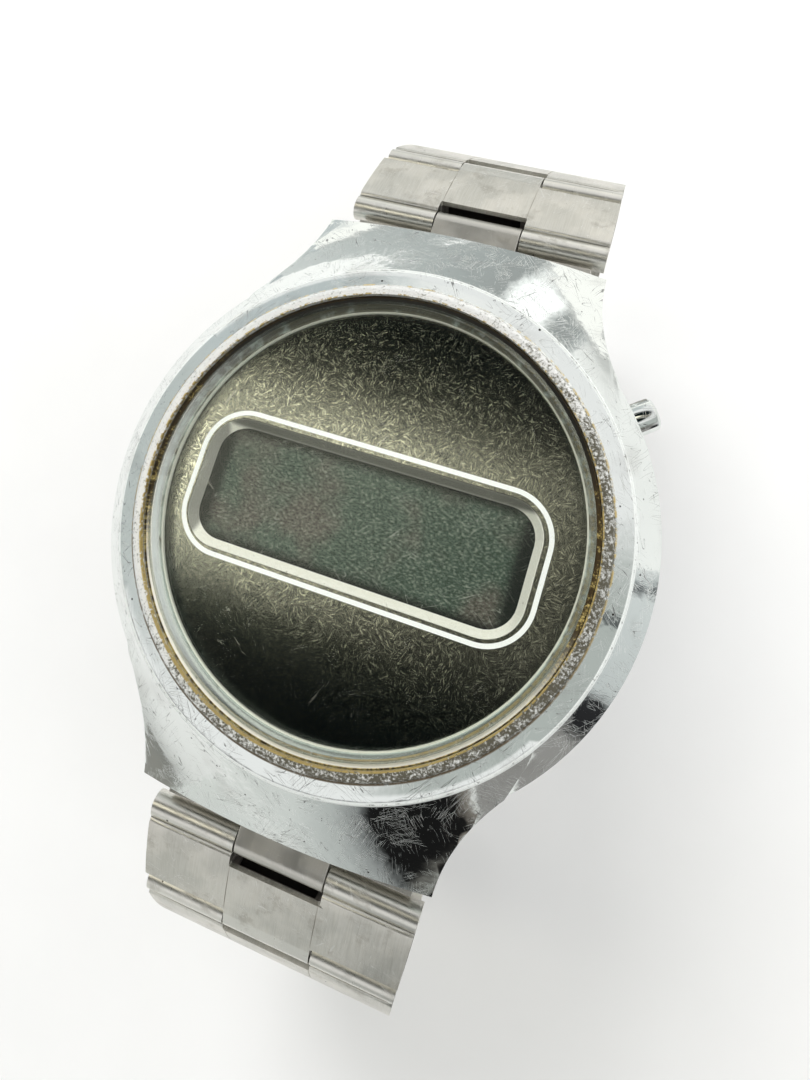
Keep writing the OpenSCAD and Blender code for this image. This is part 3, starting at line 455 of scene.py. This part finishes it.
def strokedMetal():
    # Short brush strokes whose direction changes from patch to patch, in two layers
    look = dialLook
    r = newRecipe("strokedDial")
    at = r.place()
    x, y, z = r.parts(at)
    strokes = []
    for scale, shift in look["layers"]:
        moved = r.scaled(at, (1, 1, 1), shift=(shift, shift, 0))
        wobble = r.noise(moved, *look["wobble"], output="Color")
        bent = r.node("VectorMath", {"operation": "MULTIPLY_ADD"}, {
            0: wobble, 1: look["bend"], 2: moved})
        cell = r.node("TexVoronoi", None, {"Vector": bent, "Scale": scale}, "Color")
        turned = r.node("VectorRotate", {"rotation_type": "Z_AXIS"}, {
            "Vector": moved, "Angle": r.parts(cell)[0] * (2 * math.pi)})
        strokes.append(r.noise(r.scaled(turned, look["stroke"]), 1, 2, 0.6))
    first, second = strokes
    tint = look["tint"]
    height = 0.5 * first + 0.5 * second
    # Painted shade: the metal darkens to black towards 7 o'clock
    low = r.step(y + look["slant"] * x, *look["low"])
    # Painted glints: the highest strokes are lighter, and dimmer in the painted shade towards 7 o'clock
    glints = r.step(first.most(second), *look["glintAt"]) * (1 - tint["low"] * low)
    cloud = r.step(r.noise(at, *look["cloud"]), *look["cloudAt"])
    dust = r.pits(at, *look["dust"])
    rim = r.step(r.radius(at), *look["rim"])
    base = r.mix(glints, look["metal"], look["paintedGlint"])
    base = r.mix(r.step(height, *look["darkAt"]), base, look["dark"])
    base = r.mix(cloud * tint["cloud"], base, look["dark"])
    base = r.mix(dust * tint["dust"], base, look["speck"])
    base = r.mix(rim * tint["rim"], base, look["dark"])
    base = r.mix(low * tint["low"], base, look["black"])
    roughness = look["rough"] + look["glintRough"] * glints
    return r.finish(r.surface(base, 1.0, roughness, Normal=r.bump(height, look["depth"])))


frameLook = {
    "satin": (0.90, 0.88, 0.78), "light": (0.97, 0.95, 0.86), "sideShade": (0.09, 0.09, 0.078),
    "dirtAndShade": (0.2, 0.17, 0.12), "hair": (2.5, 9, 9), "hairAt": (0.35, 0.65), "depth": 0.004,
    "dust": (2.2, 0.12, 0.15), "metal": 0.15, "rough": 0.30, "hairRough": 0.12,
    # sides of the window in mm, and how much painted shade each one takes
    "top": (3.5, 3.9), "left": (-11.3, -11.7), "right": (10.6, 11.3),
    "leftShade": 0.8, "rightShade": 0.15, "shadeTint": 0.92,
}


def satinFrame():
    look = frameLook
    r = newRecipe("satinFrame")
    at = r.place()
    x, y, z = r.parts(at)
    hair = r.noise(r.scaled(at, look["hair"]), 1, 3, 0.6)
    base = r.mix(r.step(hair, *look["hairAt"]), look["satin"], look["light"])
    # Painted shade darkens the sides towards 12 and 9 o'clock
    sideShade = r.step(y, *look["top"]).most(look["leftShade"] * r.step(x, *look["left"]))
    sideShade = sideShade.most(look["rightShade"] * r.step(x, *look["right"]))
    base = r.mix(sideShade * look["shadeTint"], base, look["sideShade"])
    base = r.mix(r.pits(at, *look["dust"]), base, look["dirtAndShade"])
    return r.finish(r.surface(base, look["metal"], look["rough"] + look["hairRough"] * hair,
                              Normal=r.bump(hair, look["depth"])))


displayLook = {
    # edge is the colour of the painted shadow along the border of the window
    "green": (0.052, 0.078, 0.058), "brown": (0.088, 0.080, 0.066), "edge": (0.004, 0.006, 0.005),
    "weave": (0.27, 0.29, 0.235), "shadow": (0.008, 0.013, 0.010), "scratch": (0.38, 0.39, 0.34),
    # the grain of the polariser: stretch, turn in degrees, then size per mm
    "stretch": (0.8, 1.3, 1), "turn": 35, "grain": (5.0, 2, 0.55), "depth": 0.02,
    "tint": (0.20, 2), "tintAt": (0.40, 0.60), "weaveAt": (0.50, 0.70), "shadowAt": (0.49, 0.34),
    # the painted shadow along the border of the window, in mm from its middle
    "middle": (-0.45, -0.3), "side": (9.9, 11.0), "end": (3.15, 4.05),
    "lines": ((40, 52, 128), 2.2, 0.22, 0.007, 0.54), "gloss": 0.25, "rough": 0.5,
    # how strongly each one tints the glass
    "share": {"weave": 0.55, "shadow": 0.6, "borderShadow": 0.95, "lines": 0.6},
}


def darkDisplay():
    look = displayLook
    r = newRecipe("darkDisplay")
    at = r.place()
    x, y, z = r.parts(at)
    x, y = x - look["middle"][0], y - look["middle"][1]
    tint = r.step(r.noise(at, *look["tint"]), *look["tintAt"])
    leather = r.noise(r.scaled(at, look["stretch"], look["turn"]), *look["grain"])
    borderShadow = r.step(abs(x), *look["side"]).most(r.step(abs(y), *look["end"]))
    lines = r.hairlines(at, *look["lines"])
    share = look["share"]
    base = r.mix(tint, look["green"], look["brown"])
    base = r.mix(share["weave"] * r.step(leather, *look["weaveAt"]), base, look["weave"])
    base = r.mix(share["shadow"] * r.step(leather, *look["shadowAt"]), base, look["shadow"])
    base = r.mix(borderShadow * share["borderShadow"], base, look["edge"])
    base = r.mix(lines * share["lines"], base, look["scratch"])
    return r.finish(r.surface(base, 0.0, look["rough"], Specular_IOR_Level=look["gloss"],
                              Normal=r.bump(leather, look["depth"])))


crystalLook = {
    "tint": (0.98, 0.99, 0.98, 1), "mirror": (0.93, 0.95, 0.93), "front": 0.012, "grazing": 0.9,
    "power": 5,
    # radii of the bevel's start in mm, and how its mirror grows towards 6 o'clock
    "bevel": (14.50, 14.60), "slant": 0.3, "bevelSide": (8, -12, 0.30, 0.85),
    "lines": ((25, 70, 130), 2.0, 0.2, 0.005, 0.57), "lineShare": 0.18,
    "rough": 0.04, "edgeRough": 0.12, "lineRough": 0.3,
}


def clearCrystal():
    # The glass lets light straight through and mirrors more on its bevel, most at 6 o'clock
    look = crystalLook
    r = newRecipe("clearCrystal")
    at = r.place()
    x, y, z = r.parts(at)
    lines = r.hairlines(at, *look["lines"])
    edge = r.step(y + look["slant"] * x, *look["bevelSide"])
    edge = r.step(r.radius(at), *look["bevel"]) * edge
    facing = r.node("LayerWeight", None, {"Blend": 0.5}, "Facing")
    mirror = look["front"] + look["grazing"] * facing.math("POWER", facing, look["power"])
    share = mirror.most(edge).most(lines * look["lineShare"])
    roughness = look["rough"] + look["edgeRough"] * edge + look["lineRough"] * lines
    gloss = r.surface(look["mirror"], 1.0, roughness)
    return r.finish(r.node("MixShader", None, {
        0: share, 1: r.node("BsdfTransparent", None, {"Color": look["tint"]}), 2: gloss}))


gasketLook = {
    "grime": (0.050, 0.030, 0.008), "brown": (0.22, 0.15, 0.045), "gold": (0.66, 0.52, 0.19),
    # cream and black are the painted highlight and painted shadow of the inner edge, shade is the painted shade of
    # the foot
    "foot": (0.56, 0.62, 0.57), "shade": (0.16, 0.15, 0.11), "highlightCream": (0.96, 0.95, 0.86),
    "black": (0.010, 0.009, 0.007),
    "crust": (5, 4, 0.7), "patch": (0.8, 3, 0.6), "depth": 0.02,
    # where a noise starts to show and where it is full
    "goldenAt": (0.78, 0.98), "brownAt": (0.42, 0.60), "shadeAt": (0.40, 0.68),
    # share of the patches in the gold, what gold loses and shade gains per mm of y
    "patchShare": 0.6, "goldDrift": 0.010, "shadeDrift": 0.012,
    # places in mm: height of the wall, its inner radius, and its dark and pale ends along y
    "wall": (9.0, 9.1), "inside": (15.20, 15.14), "darkEnd": (4, 9), "paleEnd": (-2, -9),
    "metal": 0.25, "rough": 0.30, "crustRough": 0.25,
}


def agedGasket():
    # Wall crusted with brown and golden grime, its inner edge painted pale as a highlight below and black as a
    # shadow above, and a foot yellowed to a greyish olive, with painted shade in patches growing towards 12
    # o'clock
    look = gasketLook
    r = newRecipe("agedGasket")
    at = r.place()
    x, y, z = r.parts(at)
    crust = r.noise(at, *look["crust"])
    patch = r.noise(at, *look["patch"])
    golden = crust + look["patchShare"] * patch - look["goldDrift"] * y
    golden = r.step(golden, *look["goldenAt"])
    gold = r.mix(r.step(crust, *look["brownAt"]), look["brown"], look["gold"])
    wall = r.mix(golden, look["grime"], gold)
    inside = r.step(r.radius(at), *look["inside"])
    # Painted shadow on the inner edge towards 12 o'clock, painted highlight towards 6 o'clock
    wall = r.mix(inside * r.step(y, *look["darkEnd"]), wall, look["black"])
    wall = r.mix(inside * r.step(y, *look["paleEnd"]), wall, look["highlightCream"])
    shaded = r.step(patch + look["shadeDrift"] * y, *look["shadeAt"])
    foot = r.mix(shaded, look["foot"], look["shade"])
    high = r.step(z, *look["wall"])
    base = r.mix(high, foot, wall)
    metallic = look["metal"] * high * (1 - inside)
    return r.finish(r.surface(base, metallic, look["rough"] + look["crustRough"] * crust,
                              Normal=r.bump(crust, look["depth"])))


plainLooks = {
    # slot: tones, metal or not, roughness, grain per mm, depth of the grain in mm
    "seal_rubber": ((0.012, 0.012, 0.012), (0.035, 0.035, 0.033), 0, 0.55, 4.0, 0.010),
    "reflector_foil": ((0.55, 0.57, 0.52), (0.68, 0.69, 0.64), 1, 0.42, 3.0, 0.004),
    "lamp_glass": ((0.90, 0.84, 0.66), (0.97, 0.93, 0.80), 0, 0.10, 1.5, 0.002),
    "connector_rubber": ((0.10, 0.10, 0.10), (0.30, 0.30, 0.30), 0, 0.60, 7.0, 0.004),
    "board_laminate": ((0.025, 0.12, 0.045), (0.05, 0.20, 0.08), 0, 0.42, 2.0, 0.004),
    "chip_resin": ((0.010, 0.010, 0.011), (0.03, 0.03, 0.03), 0, 0.30, 1.2, 0.020),
    "can_metal": ((0.66, 0.66, 0.63), (0.78, 0.78, 0.76), 1, 0.25, 2.5, 0.004),
    "trimmer_ceramic": ((0.45, 0.23, 0.10), (0.60, 0.34, 0.17), 0, 0.50, 3.0, 0.006),
    "module_plastic": ((0.66, 0.64, 0.56), (0.76, 0.74, 0.67), 0, 0.45, 1.6, 0.006),
    "battery_steel": ((0.58, 0.58, 0.57), (0.70, 0.70, 0.69), 1, 0.26, 1.4, 0.003),
    "contact_bronze": ((0.60, 0.42, 0.16), (0.76, 0.56, 0.26), 1, 0.28, 2.2, 0.003),
}
plainGrain = {"speck": (4, 0.6), "cloud": 0.25, "toneAt": (0.36, 0.64), "rough": 0.12}


def plainFinish(slot):
    first, second, metal, rough, grain, depth = plainLooks[slot]
    look = plainGrain
    r = newRecipe("finish_" + slot)
    at = r.place()
    speck = r.noise(at, grain, *look["speck"])
    cloud = r.noise(at, look["cloud"] * grain, 2)
    base = r.mix(r.step(0.5 * speck + 0.5 * cloud, *look["toneAt"]), first, second)
    return r.finish(r.surface(base, float(metal), rough + look["rough"] * speck,
                              Normal=r.bump(speck, depth)))


chrome = wornChrome()
steel = {slot: brushedSteel(slot) for slot in steelLooks}
finishes = {slot: plainFinish(slot) for slot in plainLooks}
finishes.update(steel)
finishes.update(plated_brass=chrome, crystal_glass=clearCrystal(), dial_metal=strokedMetal(),
                frame_metal=satinFrame(), display_glass=darkDisplay(), gasket_nylon=agedGasket())
linkFinish = brushedLink()
print("stage: finishes made,", len(finishes) + 1)


# Modelling helpers

edgeLook = {
    # merging distance in mm, angles in degrees, steps round a corner and along a softened edge
    "merge": 0.002, "flat": 0.3, "sharp": 26, "smooth": 50, "weight": 80,
    "cornerSteps": 4, "edgeSteps": 2,
}


def only(piece):
    bpy.ops.object.select_all(action="DESELECT")
    piece.select_set(True)
    bpy.context.view_layer.objects.active = piece


def applied(piece, kind, **settings):
    modifier = piece.modifiers.new(kind.title(), kind)
    for name, value in settings.items():
        setattr(modifier, name, value)
    only(piece)
    bpy.ops.object.modifier_apply(modifier=modifier.name)


def pickEdges(piece, wanted):
    # Selects the edges whose two ends are wanted for the same corner
    ends = [wanted(vertex.co / mm) for vertex in piece.data.vertices]
    for polygon in piece.data.polygons:
        polygon.select = False
    for vertex, end in zip(piece.data.vertices, ends):
        vertex.select = bool(end)
    for edge in piece.data.edges:
        first, second = (ends[k] for k in edge.vertices)
        edge.select = bool(first) and first == second
    return sum(edge.select for edge in piece.data.edges)


def copied(node, name, finish):
    # A copy of a CAD node, which stands for that node
    piece = bpy.data.objects.new(name, nodes[node].data.copy())
    bpy.context.scene.collection.objects.link(piece)
    only(piece)
    bpy.ops.mesh.customdata_custom_splitnormals_clear()
    piece.data.materials.clear()
    piece.data.materials.append(finish)
    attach(piece, bodyOf[node])
    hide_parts(node)
    return piece


def dressed(node, name, finish, soften, corners=()):
    # A merged copy with softened edges, and with rounded corners where some are wanted
    look = edgeLook
    piece = copied(node, name, finish)
    bpy.ops.object.mode_set(mode="EDIT")
    bpy.ops.mesh.select_mode(type="EDGE")
    bpy.ops.mesh.select_all(action="SELECT")
    bpy.ops.mesh.remove_doubles(threshold=look["merge"] * mm)
    bpy.ops.mesh.dissolve_limited(angle_limit=math.radians(look["flat"]))
    bpy.ops.mesh.select_all(action="DESELECT")
    bpy.ops.object.mode_set(mode="OBJECT")
    for radius, wanted in corners:
        if pickEdges(piece, wanted):
            bpy.ops.object.mode_set(mode="EDIT")
            bpy.ops.mesh.bevel(offset=radius * mm, segments=look["cornerSteps"], affect="EDGES")
            bpy.ops.mesh.select_all(action="DESELECT")
            bpy.ops.object.mode_set(mode="OBJECT")
    applied(piece, "BEVEL", width=soften * mm, segments=look["edgeSteps"], limit_method="ANGLE",
            angle_limit=math.radians(look["sharp"]), use_clamp_overlap=True)
    bpy.ops.object.shade_smooth_by_angle(angle=math.radians(look["smooth"]))
    applied(piece, "WEIGHTED_NORMAL", keep_sharp=True, weight=look["weight"])
    return piece


# Case, back and pusher

softened = {"case": 0.08, "back": 0.08, "pusher": 0.06}  # widths of the softened edges in mm
dressed("case_middle", "caseShell", chrome, softened["case"])
dressed("case_back", "caseBack", steel["back_steel"], softened["back"])
dressed("pusher", "pusherCap", chrome, softened["pusher"])
springMerge = 0.001  # merging distance of the thin wire in mm


def squeezedSpring():
    # A merged, smoothed copy of the spring under the pusher
    piece = copied("pusher_spring", "pusherSpring", steel["spring_steel"])
    bpy.ops.object.mode_set(mode="EDIT")
    bpy.ops.mesh.select_all(action="SELECT")
    bpy.ops.mesh.remove_doubles(threshold=springMerge * mm)
    bpy.ops.object.mode_set(mode="OBJECT")
    bpy.ops.object.shade_smooth_by_angle(angle=math.radians(edgeLook["smooth"]))
    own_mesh(piece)


squeezedSpring()
print("stage: case dressed")


# Bracelet: every link keeps its own place along itself for its rolls and seams

braceletLook = {
    # sizes in mm: across the link, and along it from its first pin
    "soften": 0.07, "corner": 0.3, "notch": 3.55, "notchEnd": 1.5, "tongue": 3.45, "sideEnd": 5.65,
    "step": 0.55, "stepRound": 0.27, "topRise": 1.0, "near": 0.03, "endSoften": 0.06,
}


def linkSpan(chain, i):
    # First and last pin of a link, in mm
    side = 1 if chain == "upper" else -1
    pins = [Vector(joints[f"{chain}_hinge_{k}"]["pos_m"]) for k in range(1, 7)]
    last = Vector(joints["cover_hinge"]["pos_m"])
    pins.append(Vector((0, side * abs(last.y), last.z)))
    return pins[i - 1] / mm, pins[i] / mm


def dressedLink(chain, i):
    look = braceletLook
    first, last = linkSpan(chain, i)
    way = (last - first).normalized()
    up = Vector((0, -way.z, way.y)) * (1 if chain == "upper" else -1)

    def beside(point, along):
        return abs((point - first).dot(way) - along) < look["near"]

    def cornerAt(across, along):
        def wanted(point):
            close = abs(abs(point.x) - across) < look["near"] and beside(point, along)
            return math.copysign(close, point.x)
        return wanted

    def stepTop(point):
        return beside(point, look["step"]) and (point - first).dot(up) > look["topRise"]

    piece = dressed(f"{chain}_link_{i}", f"{chain}Link{i}", linkFinish, look["soften"], [
        (look["stepRound"], stepTop),
        (look["corner"], cornerAt(look["notch"], look["notchEnd"])),
        (look["corner"], cornerAt(look["tongue"], look["sideEnd"]))])
    for name, direction in (("along", way), ("rise", up)):
        values = [(vertex.co / mm - first).dot(direction) for vertex in piece.data.vertices]
        piece.data.attributes.new(name, "FLOAT", "POINT").data.foreach_set("value", values)


for chain in ("upper", "lower"):
    dressed(f"{chain}_end_link", f"{chain}EndLink", steel["link_steel"], braceletLook["endSoften"])
    for i in range(1, 7):
        dressedLink(chain, i)
print("stage: bracelet dressed")


# Clasp

claspSoften = 0.07  # width of the softened edges in mm
for node, name in (("clasp_cover", "claspCover"), ("middle_blade", "claspMiddleBlade"),
                   ("inner_blade", "claspInnerBlade")):
    dressed(node, name, steel["clasp_steel"], claspSoften)
print("stage: clasp dressed")


# The line printed on the dial round the window

lineLook = {
    # sizes in mm
    "halfWidth": 12.62, "halfHeight": 5.22, "middle": (-0.35, -0.27), "corner": 3.3,
    "width": 0.33, "thick": 0.02, "cornerSteps": 14,
    "white": (0.96, 0.96, 0.95), "yellowed": (0.80, 0.79, 0.76), "grain": (6, 3),
    "wornAt": (0.62, 0.72), "depth": 0.004, "rough": 0.38, "wornRough": 0.2,
}


def paintedLine():
    look = lineLook
    r = newRecipe("paintedLine")
    worn = r.step(r.noise(r.place(), *look["grain"]), *look["wornAt"])
    base = r.mix(worn, look["white"], look["yellowed"])
    return r.finish(r.surface(base, 0.0, look["rough"] + look["wornRough"] * worn,
                              Normal=r.bump(worn, look["depth"])))


def windowLine():
    look = lineLook
    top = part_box("dial")[1].z
    bpy.ops.object.select_all(action="DESELECT")
    x, y = (value * mm for value in look["middle"])
    bpy.ops.mesh.primitive_plane_add(size=2, location=(x, y, top))
    piece = bpy.context.object
    piece.name = "windowLine"
    bpy.ops.object.mode_set(mode="EDIT")
    bpy.ops.mesh.select_mode(type="FACE")
    bpy.ops.mesh.select_all(action="SELECT")
    bpy.ops.transform.resize(value=(look["halfWidth"] * mm, look["halfHeight"] * mm, 1))
    bpy.ops.mesh.bevel(offset=look["corner"] * mm, segments=look["cornerSteps"],
                       affect="VERTICES")
    bpy.ops.mesh.select_all(action="SELECT")
    bpy.ops.mesh.inset(thickness=look["width"] * mm)
    bpy.ops.mesh.delete(type="FACE")
    bpy.ops.object.mode_set(mode="OBJECT")
    bpy.ops.object.transform_apply(location=True, rotation=True, scale=True)
    applied(piece, "SOLIDIFY", thickness=look["thick"] * mm, offset=1.0)
    piece.data.materials.append(paintedLine())
    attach(piece, "case")


windowLine()
print("stage: dial line made")


# Finishes of the CAD nodes that stay

for name, node in nodes.items():
    if not node.hide_render:
        if not node.data.materials:
            node.data.materials.append(None)
        for i in range(len(node.data.materials)):
            node.data.materials[i] = finishes[slotOf[name]]
print("stage: CAD nodes finished")


# Studio: what the metal mirrors, lights, floor, backdrop and camera

studioLook = {
    # strength and tone of the sky, and the share of y that the slanted direction takes from x
    "strength": 0.98, "sky": (1.0, 1.0, 1.0), "slant": 0.6,
    # the dark panel overhead, its direction and the cosines of its edge
    "overhead": (0.006, 0.012, 0.013), "overheadWay": (-0.22, -0.06, 0.97),
    "overheadEdge": (0.80, 0.88),
    # the soft bright band in it: middle, half and soft edge along y, and its dim side
    "glow": (2.2, 2.1, 1.75), "glowBand": (0.0, 0.08, 0.08), "glowSide": (0.02, -0.36, 0.12, 1.0),
}
zones = (
    # tone of a part of the sky, and where it lies: two numbers are the start and end of a step,
    # three the middle, half and soft edge of a band, over the direction's x, y, z or slant
    ((0.60, 0.64, 0.63), ("x", -0.55, -0.95), ("z", 0.75, 0.45)),
    ((0.52, 0.55, 0.53), ("slant", 0.48, 0.70), ("z", 0.48, 0.22, 0.10)),
    ((0.12, 0.13, 0.13), ("x", 0.50, 0.60), ("y", -0.07, 0.015, 0.03), ("z", 0.66, 0.06, 0.04)),
    ((1.25, 1.24, 1.19), ("y", 0.30, 0.80), ("z", 0.6, 0.3)),
    ((0.60, 0.65, 0.66), ("y", 0.25, 0.45), ("x", -0.15, -0.5), ("z", 0.38, 0.14, 0.12)),
    ((0.30, 0.295, 0.27), ("y", -0.40, -0.85), ("z", 0.42, 0.24)),
    ((0.28, 0.28, 0.26), ("y", -0.40, -0.85), ("z", 0.42, 0.24), ("z", 0.14, 0.02)),
    ((0.11, 0.10, 0.09), ("y", -0.40, -0.85), ("z", 0.42, 0.24), ("x", 0.02, 0.35)),
)


def studioWorld():
    look = studioLook
    world = bpy.data.worlds.new("studio")
    bpy.context.scene.world = world
    r = Recipe(world)
    way = r.node("TexCoord", output="Generated")
    x, y, z = r.parts(way)
    along = {"x": x, "y": y, "z": z, "slant": x - look["slant"] * y}
    colour = look["sky"]
    for tone, *limits in zones:
        share = 1
        for axis, *span in limits:
            inside = r.step(along[axis], *span) if len(span) == 2 else r.band(along[axis], *span)
            share = share * inside
        colour = r.mix(share, colour, tone)
    high = r.node("VectorMath", {"operation": "DOT_PRODUCT"}, {
        0: way, 1: look["overheadWay"]}, "Value")
    glow = r.band(y, *look["glowBand"]) * r.step(x - y, *look["glowSide"])
    panel = r.mix(glow, look["overhead"], look["glow"])
    colour = r.mix(r.step(high, *look["overheadEdge"]), colour, panel)
    r.finish(r.node("Background", None, {"Color": colour, "Strength": look["strength"]}))


def pointed(thing, place, target):
    thing.location = [value * mm for value in place]
    away = Vector(place) - Vector(target)
    thing.rotation_euler = away.to_track_quat("Z", "Y").to_euler()


softboxes = (
    # name, place and target in mm, size in mm, power in watts, colour
    ("keyLight", (-160, 280, 300), (0, 0, 0), (220, 220), 1.20, (1.0, 0.99, 0.98)),
    ("fillLight", (320, -60, 200), (0, 0, 0), (220, 300), 0.40, (1.0, 1.0, 1.0)),
)


def studioLights():
    for name, place, target, size, power, colour in softboxes:
        lamp = bpy.data.lights.new(name, "AREA")
        lamp.shape, lamp.size, lamp.size_y = "RECTANGLE", size[0] * mm, size[1] * mm
        lamp.energy, lamp.color = power, colour
        light = bpy.data.objects.new(name, lamp)
        light.visible_glossy = False
        bpy.context.scene.collection.objects.link(light)
        pointed(light, place, target)


cards = (
    # name, place and target in mm, size in mm, tones from one side to the other
    ("darkCard", (8, -120, -2), (8, 0, -2), (130, 84),
     ((0, (0.76, 0.78, 0.75)), (0.30, (0.70, 0.72, 0.70)), (0.45, (0.50, 0.52, 0.51)),
      (0.53, (0.26, 0.27, 0.27)), (0.58, (0.010, 0.010, 0.010)), (0.90, (0.010, 0.010, 0.010)),
      (0.95, (0.20, 0.18, 0.16)), (1, (0.30, 0.27, 0.24)))),
    ("leftCard", (-130, 50, -10), (0, 50, 5), (260, 90),
     ((0, (0.58, 0.63, 0.64)), (0.5, (0.38, 0.42, 0.44)), (1, (0.34, 0.37, 0.38)))),
    ("topCard", (-35, 120, -18), (-35, 0, -18), (190, 50),
     ((0, (0.80, 0.82, 0.81)), (0.06, (0.40, 0.42, 0.415)), (0.13, (0.40, 0.42, 0.415)),
      (0.155, (1.40, 1.41, 1.39)), (0.255, (1.35, 1.37, 1.35)), (0.285, (0.40, 0.42, 0.415)),
      (0.383, (0.45, 0.48, 0.475)), (0.709, (0.62, 0.65, 0.64)), (1, (0.78, 0.81, 0.80)))),
    ("rightCard", (102, -42, -14), (7, 12, -14), (150, 50),
     ((0, (0.30, 0.29, 0.28)), (0.34, (0.34, 0.33, 0.32)), (0.395, (0.022, 0.022, 0.024)),
      (0.475, (0.028, 0.028, 0.030)), (0.51, (0.62, 0.65, 0.65)), (0.86, (0.74, 0.77, 0.77)),
      (0.90, (0.10, 0.105, 0.11)), (0.93, (0.62, 0.65, 0.65)), (1, (0.80, 0.82, 0.82)))),
)
cardEdge = (0.03, 0.22)  # soft edges of a card at its sides and at its top and bottom


def cardFinish(name, tones):
    r = newRecipe(name)
    u, v, w = r.parts(r.node("TexCoord", output="UV"))
    side, end = cardEdge
    inside = r.step(u.least(1 - u), 0.0, side) * r.step(v.least(1 - v), 0.0, end)
    tone = r.node("ValToRGB", {"stops": tones}, {"Fac": u})
    glow = r.node("Emission", None, {"Color": tone})
    return r.finish(r.node("MixShader", None, {0: inside, 1: r.node("BsdfTransparent"), 2: glow}))


def hiddenFrom(thing, *rays):
    for ray in rays:
        setattr(thing, "visible_" + ray, False)


def studioCards():
    # Seen only as a reflection in the metal
    for name, place, target, size, tones in cards:
        bpy.ops.object.select_all(action="DESELECT")
        bpy.ops.mesh.primitive_plane_add(size=1)
        card = bpy.context.object
        card.name = name
        pointed(card, place, target)
        card.scale = (size[0] * mm, size[1] * mm, 1)
        card.data.materials.append(cardFinish(name, tones))
        hiddenFrom(card, "camera", "diffuse", "transmission", "shadow", "volume_scatter")


groundLook = {
    "tone": (0.90, 0.90, 0.90), "cloud": (0.08, 3), "cloudAt": (0.3, 0.7), "darker": 0.985,
    # size in metres, distance under the watch in mm
    "size": 12, "under": 0.02, "rough": 0.7,
    # radius of the dome in metres, its tones, and the height in mm where the second is full
    "domeRadius": 3.5, "domeLow": (0.65, 0.65, 0.64), "domeHigh": (0.86, 0.86, 0.855), "rise": 900,
}


def studioFloor():
    look = groundLook
    r = newRecipe("paleFloor")
    cloud = r.step(r.noise(r.place(), *look["cloud"]), *look["cloudAt"])
    base = r.mix(cloud, look["tone"], [look["darker"] * value for value in look["tone"]])
    bpy.ops.object.select_all(action="DESELECT")
    height = cadBox[0].z - look["under"] * mm
    bpy.ops.mesh.primitive_plane_add(size=look["size"], location=(0, 0, height))
    floor = bpy.context.object
    floor.name = "floor"
    floor.data.materials.append(r.finish(r.surface(base, 0.0, look["rough"])))


def studioBackdrop():
    # A pale dome that only the camera sees, behind the floor in low views
    look = groundLook
    bpy.ops.object.select_all(action="DESELECT")
    bpy.ops.mesh.primitive_uv_sphere_add(segments=64, ring_count=32, radius=look["domeRadius"])
    dome = bpy.context.object
    dome.name = "backdrop"
    r = newRecipe("paleBackdrop")
    x, y, z = r.parts(r.place())
    tone = r.mix(r.step(z, 0, look["rise"]), look["domeLow"], look["domeHigh"])
    dome.data.materials.append(r.finish(r.node("Emission", None, {"Color": tone})))
    hiddenFrom(dome, "glossy", "diffuse", "transmission", "shadow", "volume_scatter")


cameraLook = {
    # place in mm, axes of the view, focal length and middle of the picture in pixels
    "place": (12.568, -0.091, 61.322), "right": (0.93280, 0.30081, -0.19849),
    "up": (-0.25942, 0.94275, 0.20956), "back": (0.25017, -0.14399, 0.95744),
    "focal": 807.3, "centre": (22.4, -135.9), "longSide": 1080, "sensor": 36,
}


def studioCamera():
    look = cameraLook
    lens = bpy.data.cameras.new("camera")
    lens.sensor_fit, lens.sensor_width = "AUTO", look["sensor"]
    lens.lens = look["sensor"] * look["focal"] / look["longSide"]
    lens.shift_x, lens.shift_y = (value / look["longSide"] for value in look["centre"])
    lens.clip_start, lens.clip_end = 1 * mm, 5
    camera = bpy.data.objects.new("camera", lens)
    turn = Matrix((look["right"], look["up"], look["back"])).transposed().to_4x4()
    camera.matrix_world = Matrix.Translation([value * mm for value in look["place"]]) @ turn
    bpy.context.scene.collection.objects.link(camera)
    bpy.context.scene.camera = camera


studioWorld()
studioLights()
studioCards()
studioFloor()
studioBackdrop()
studioCamera()
bpy.context.scene.view_settings.view_transform = "Standard"
print("stage: studio set")
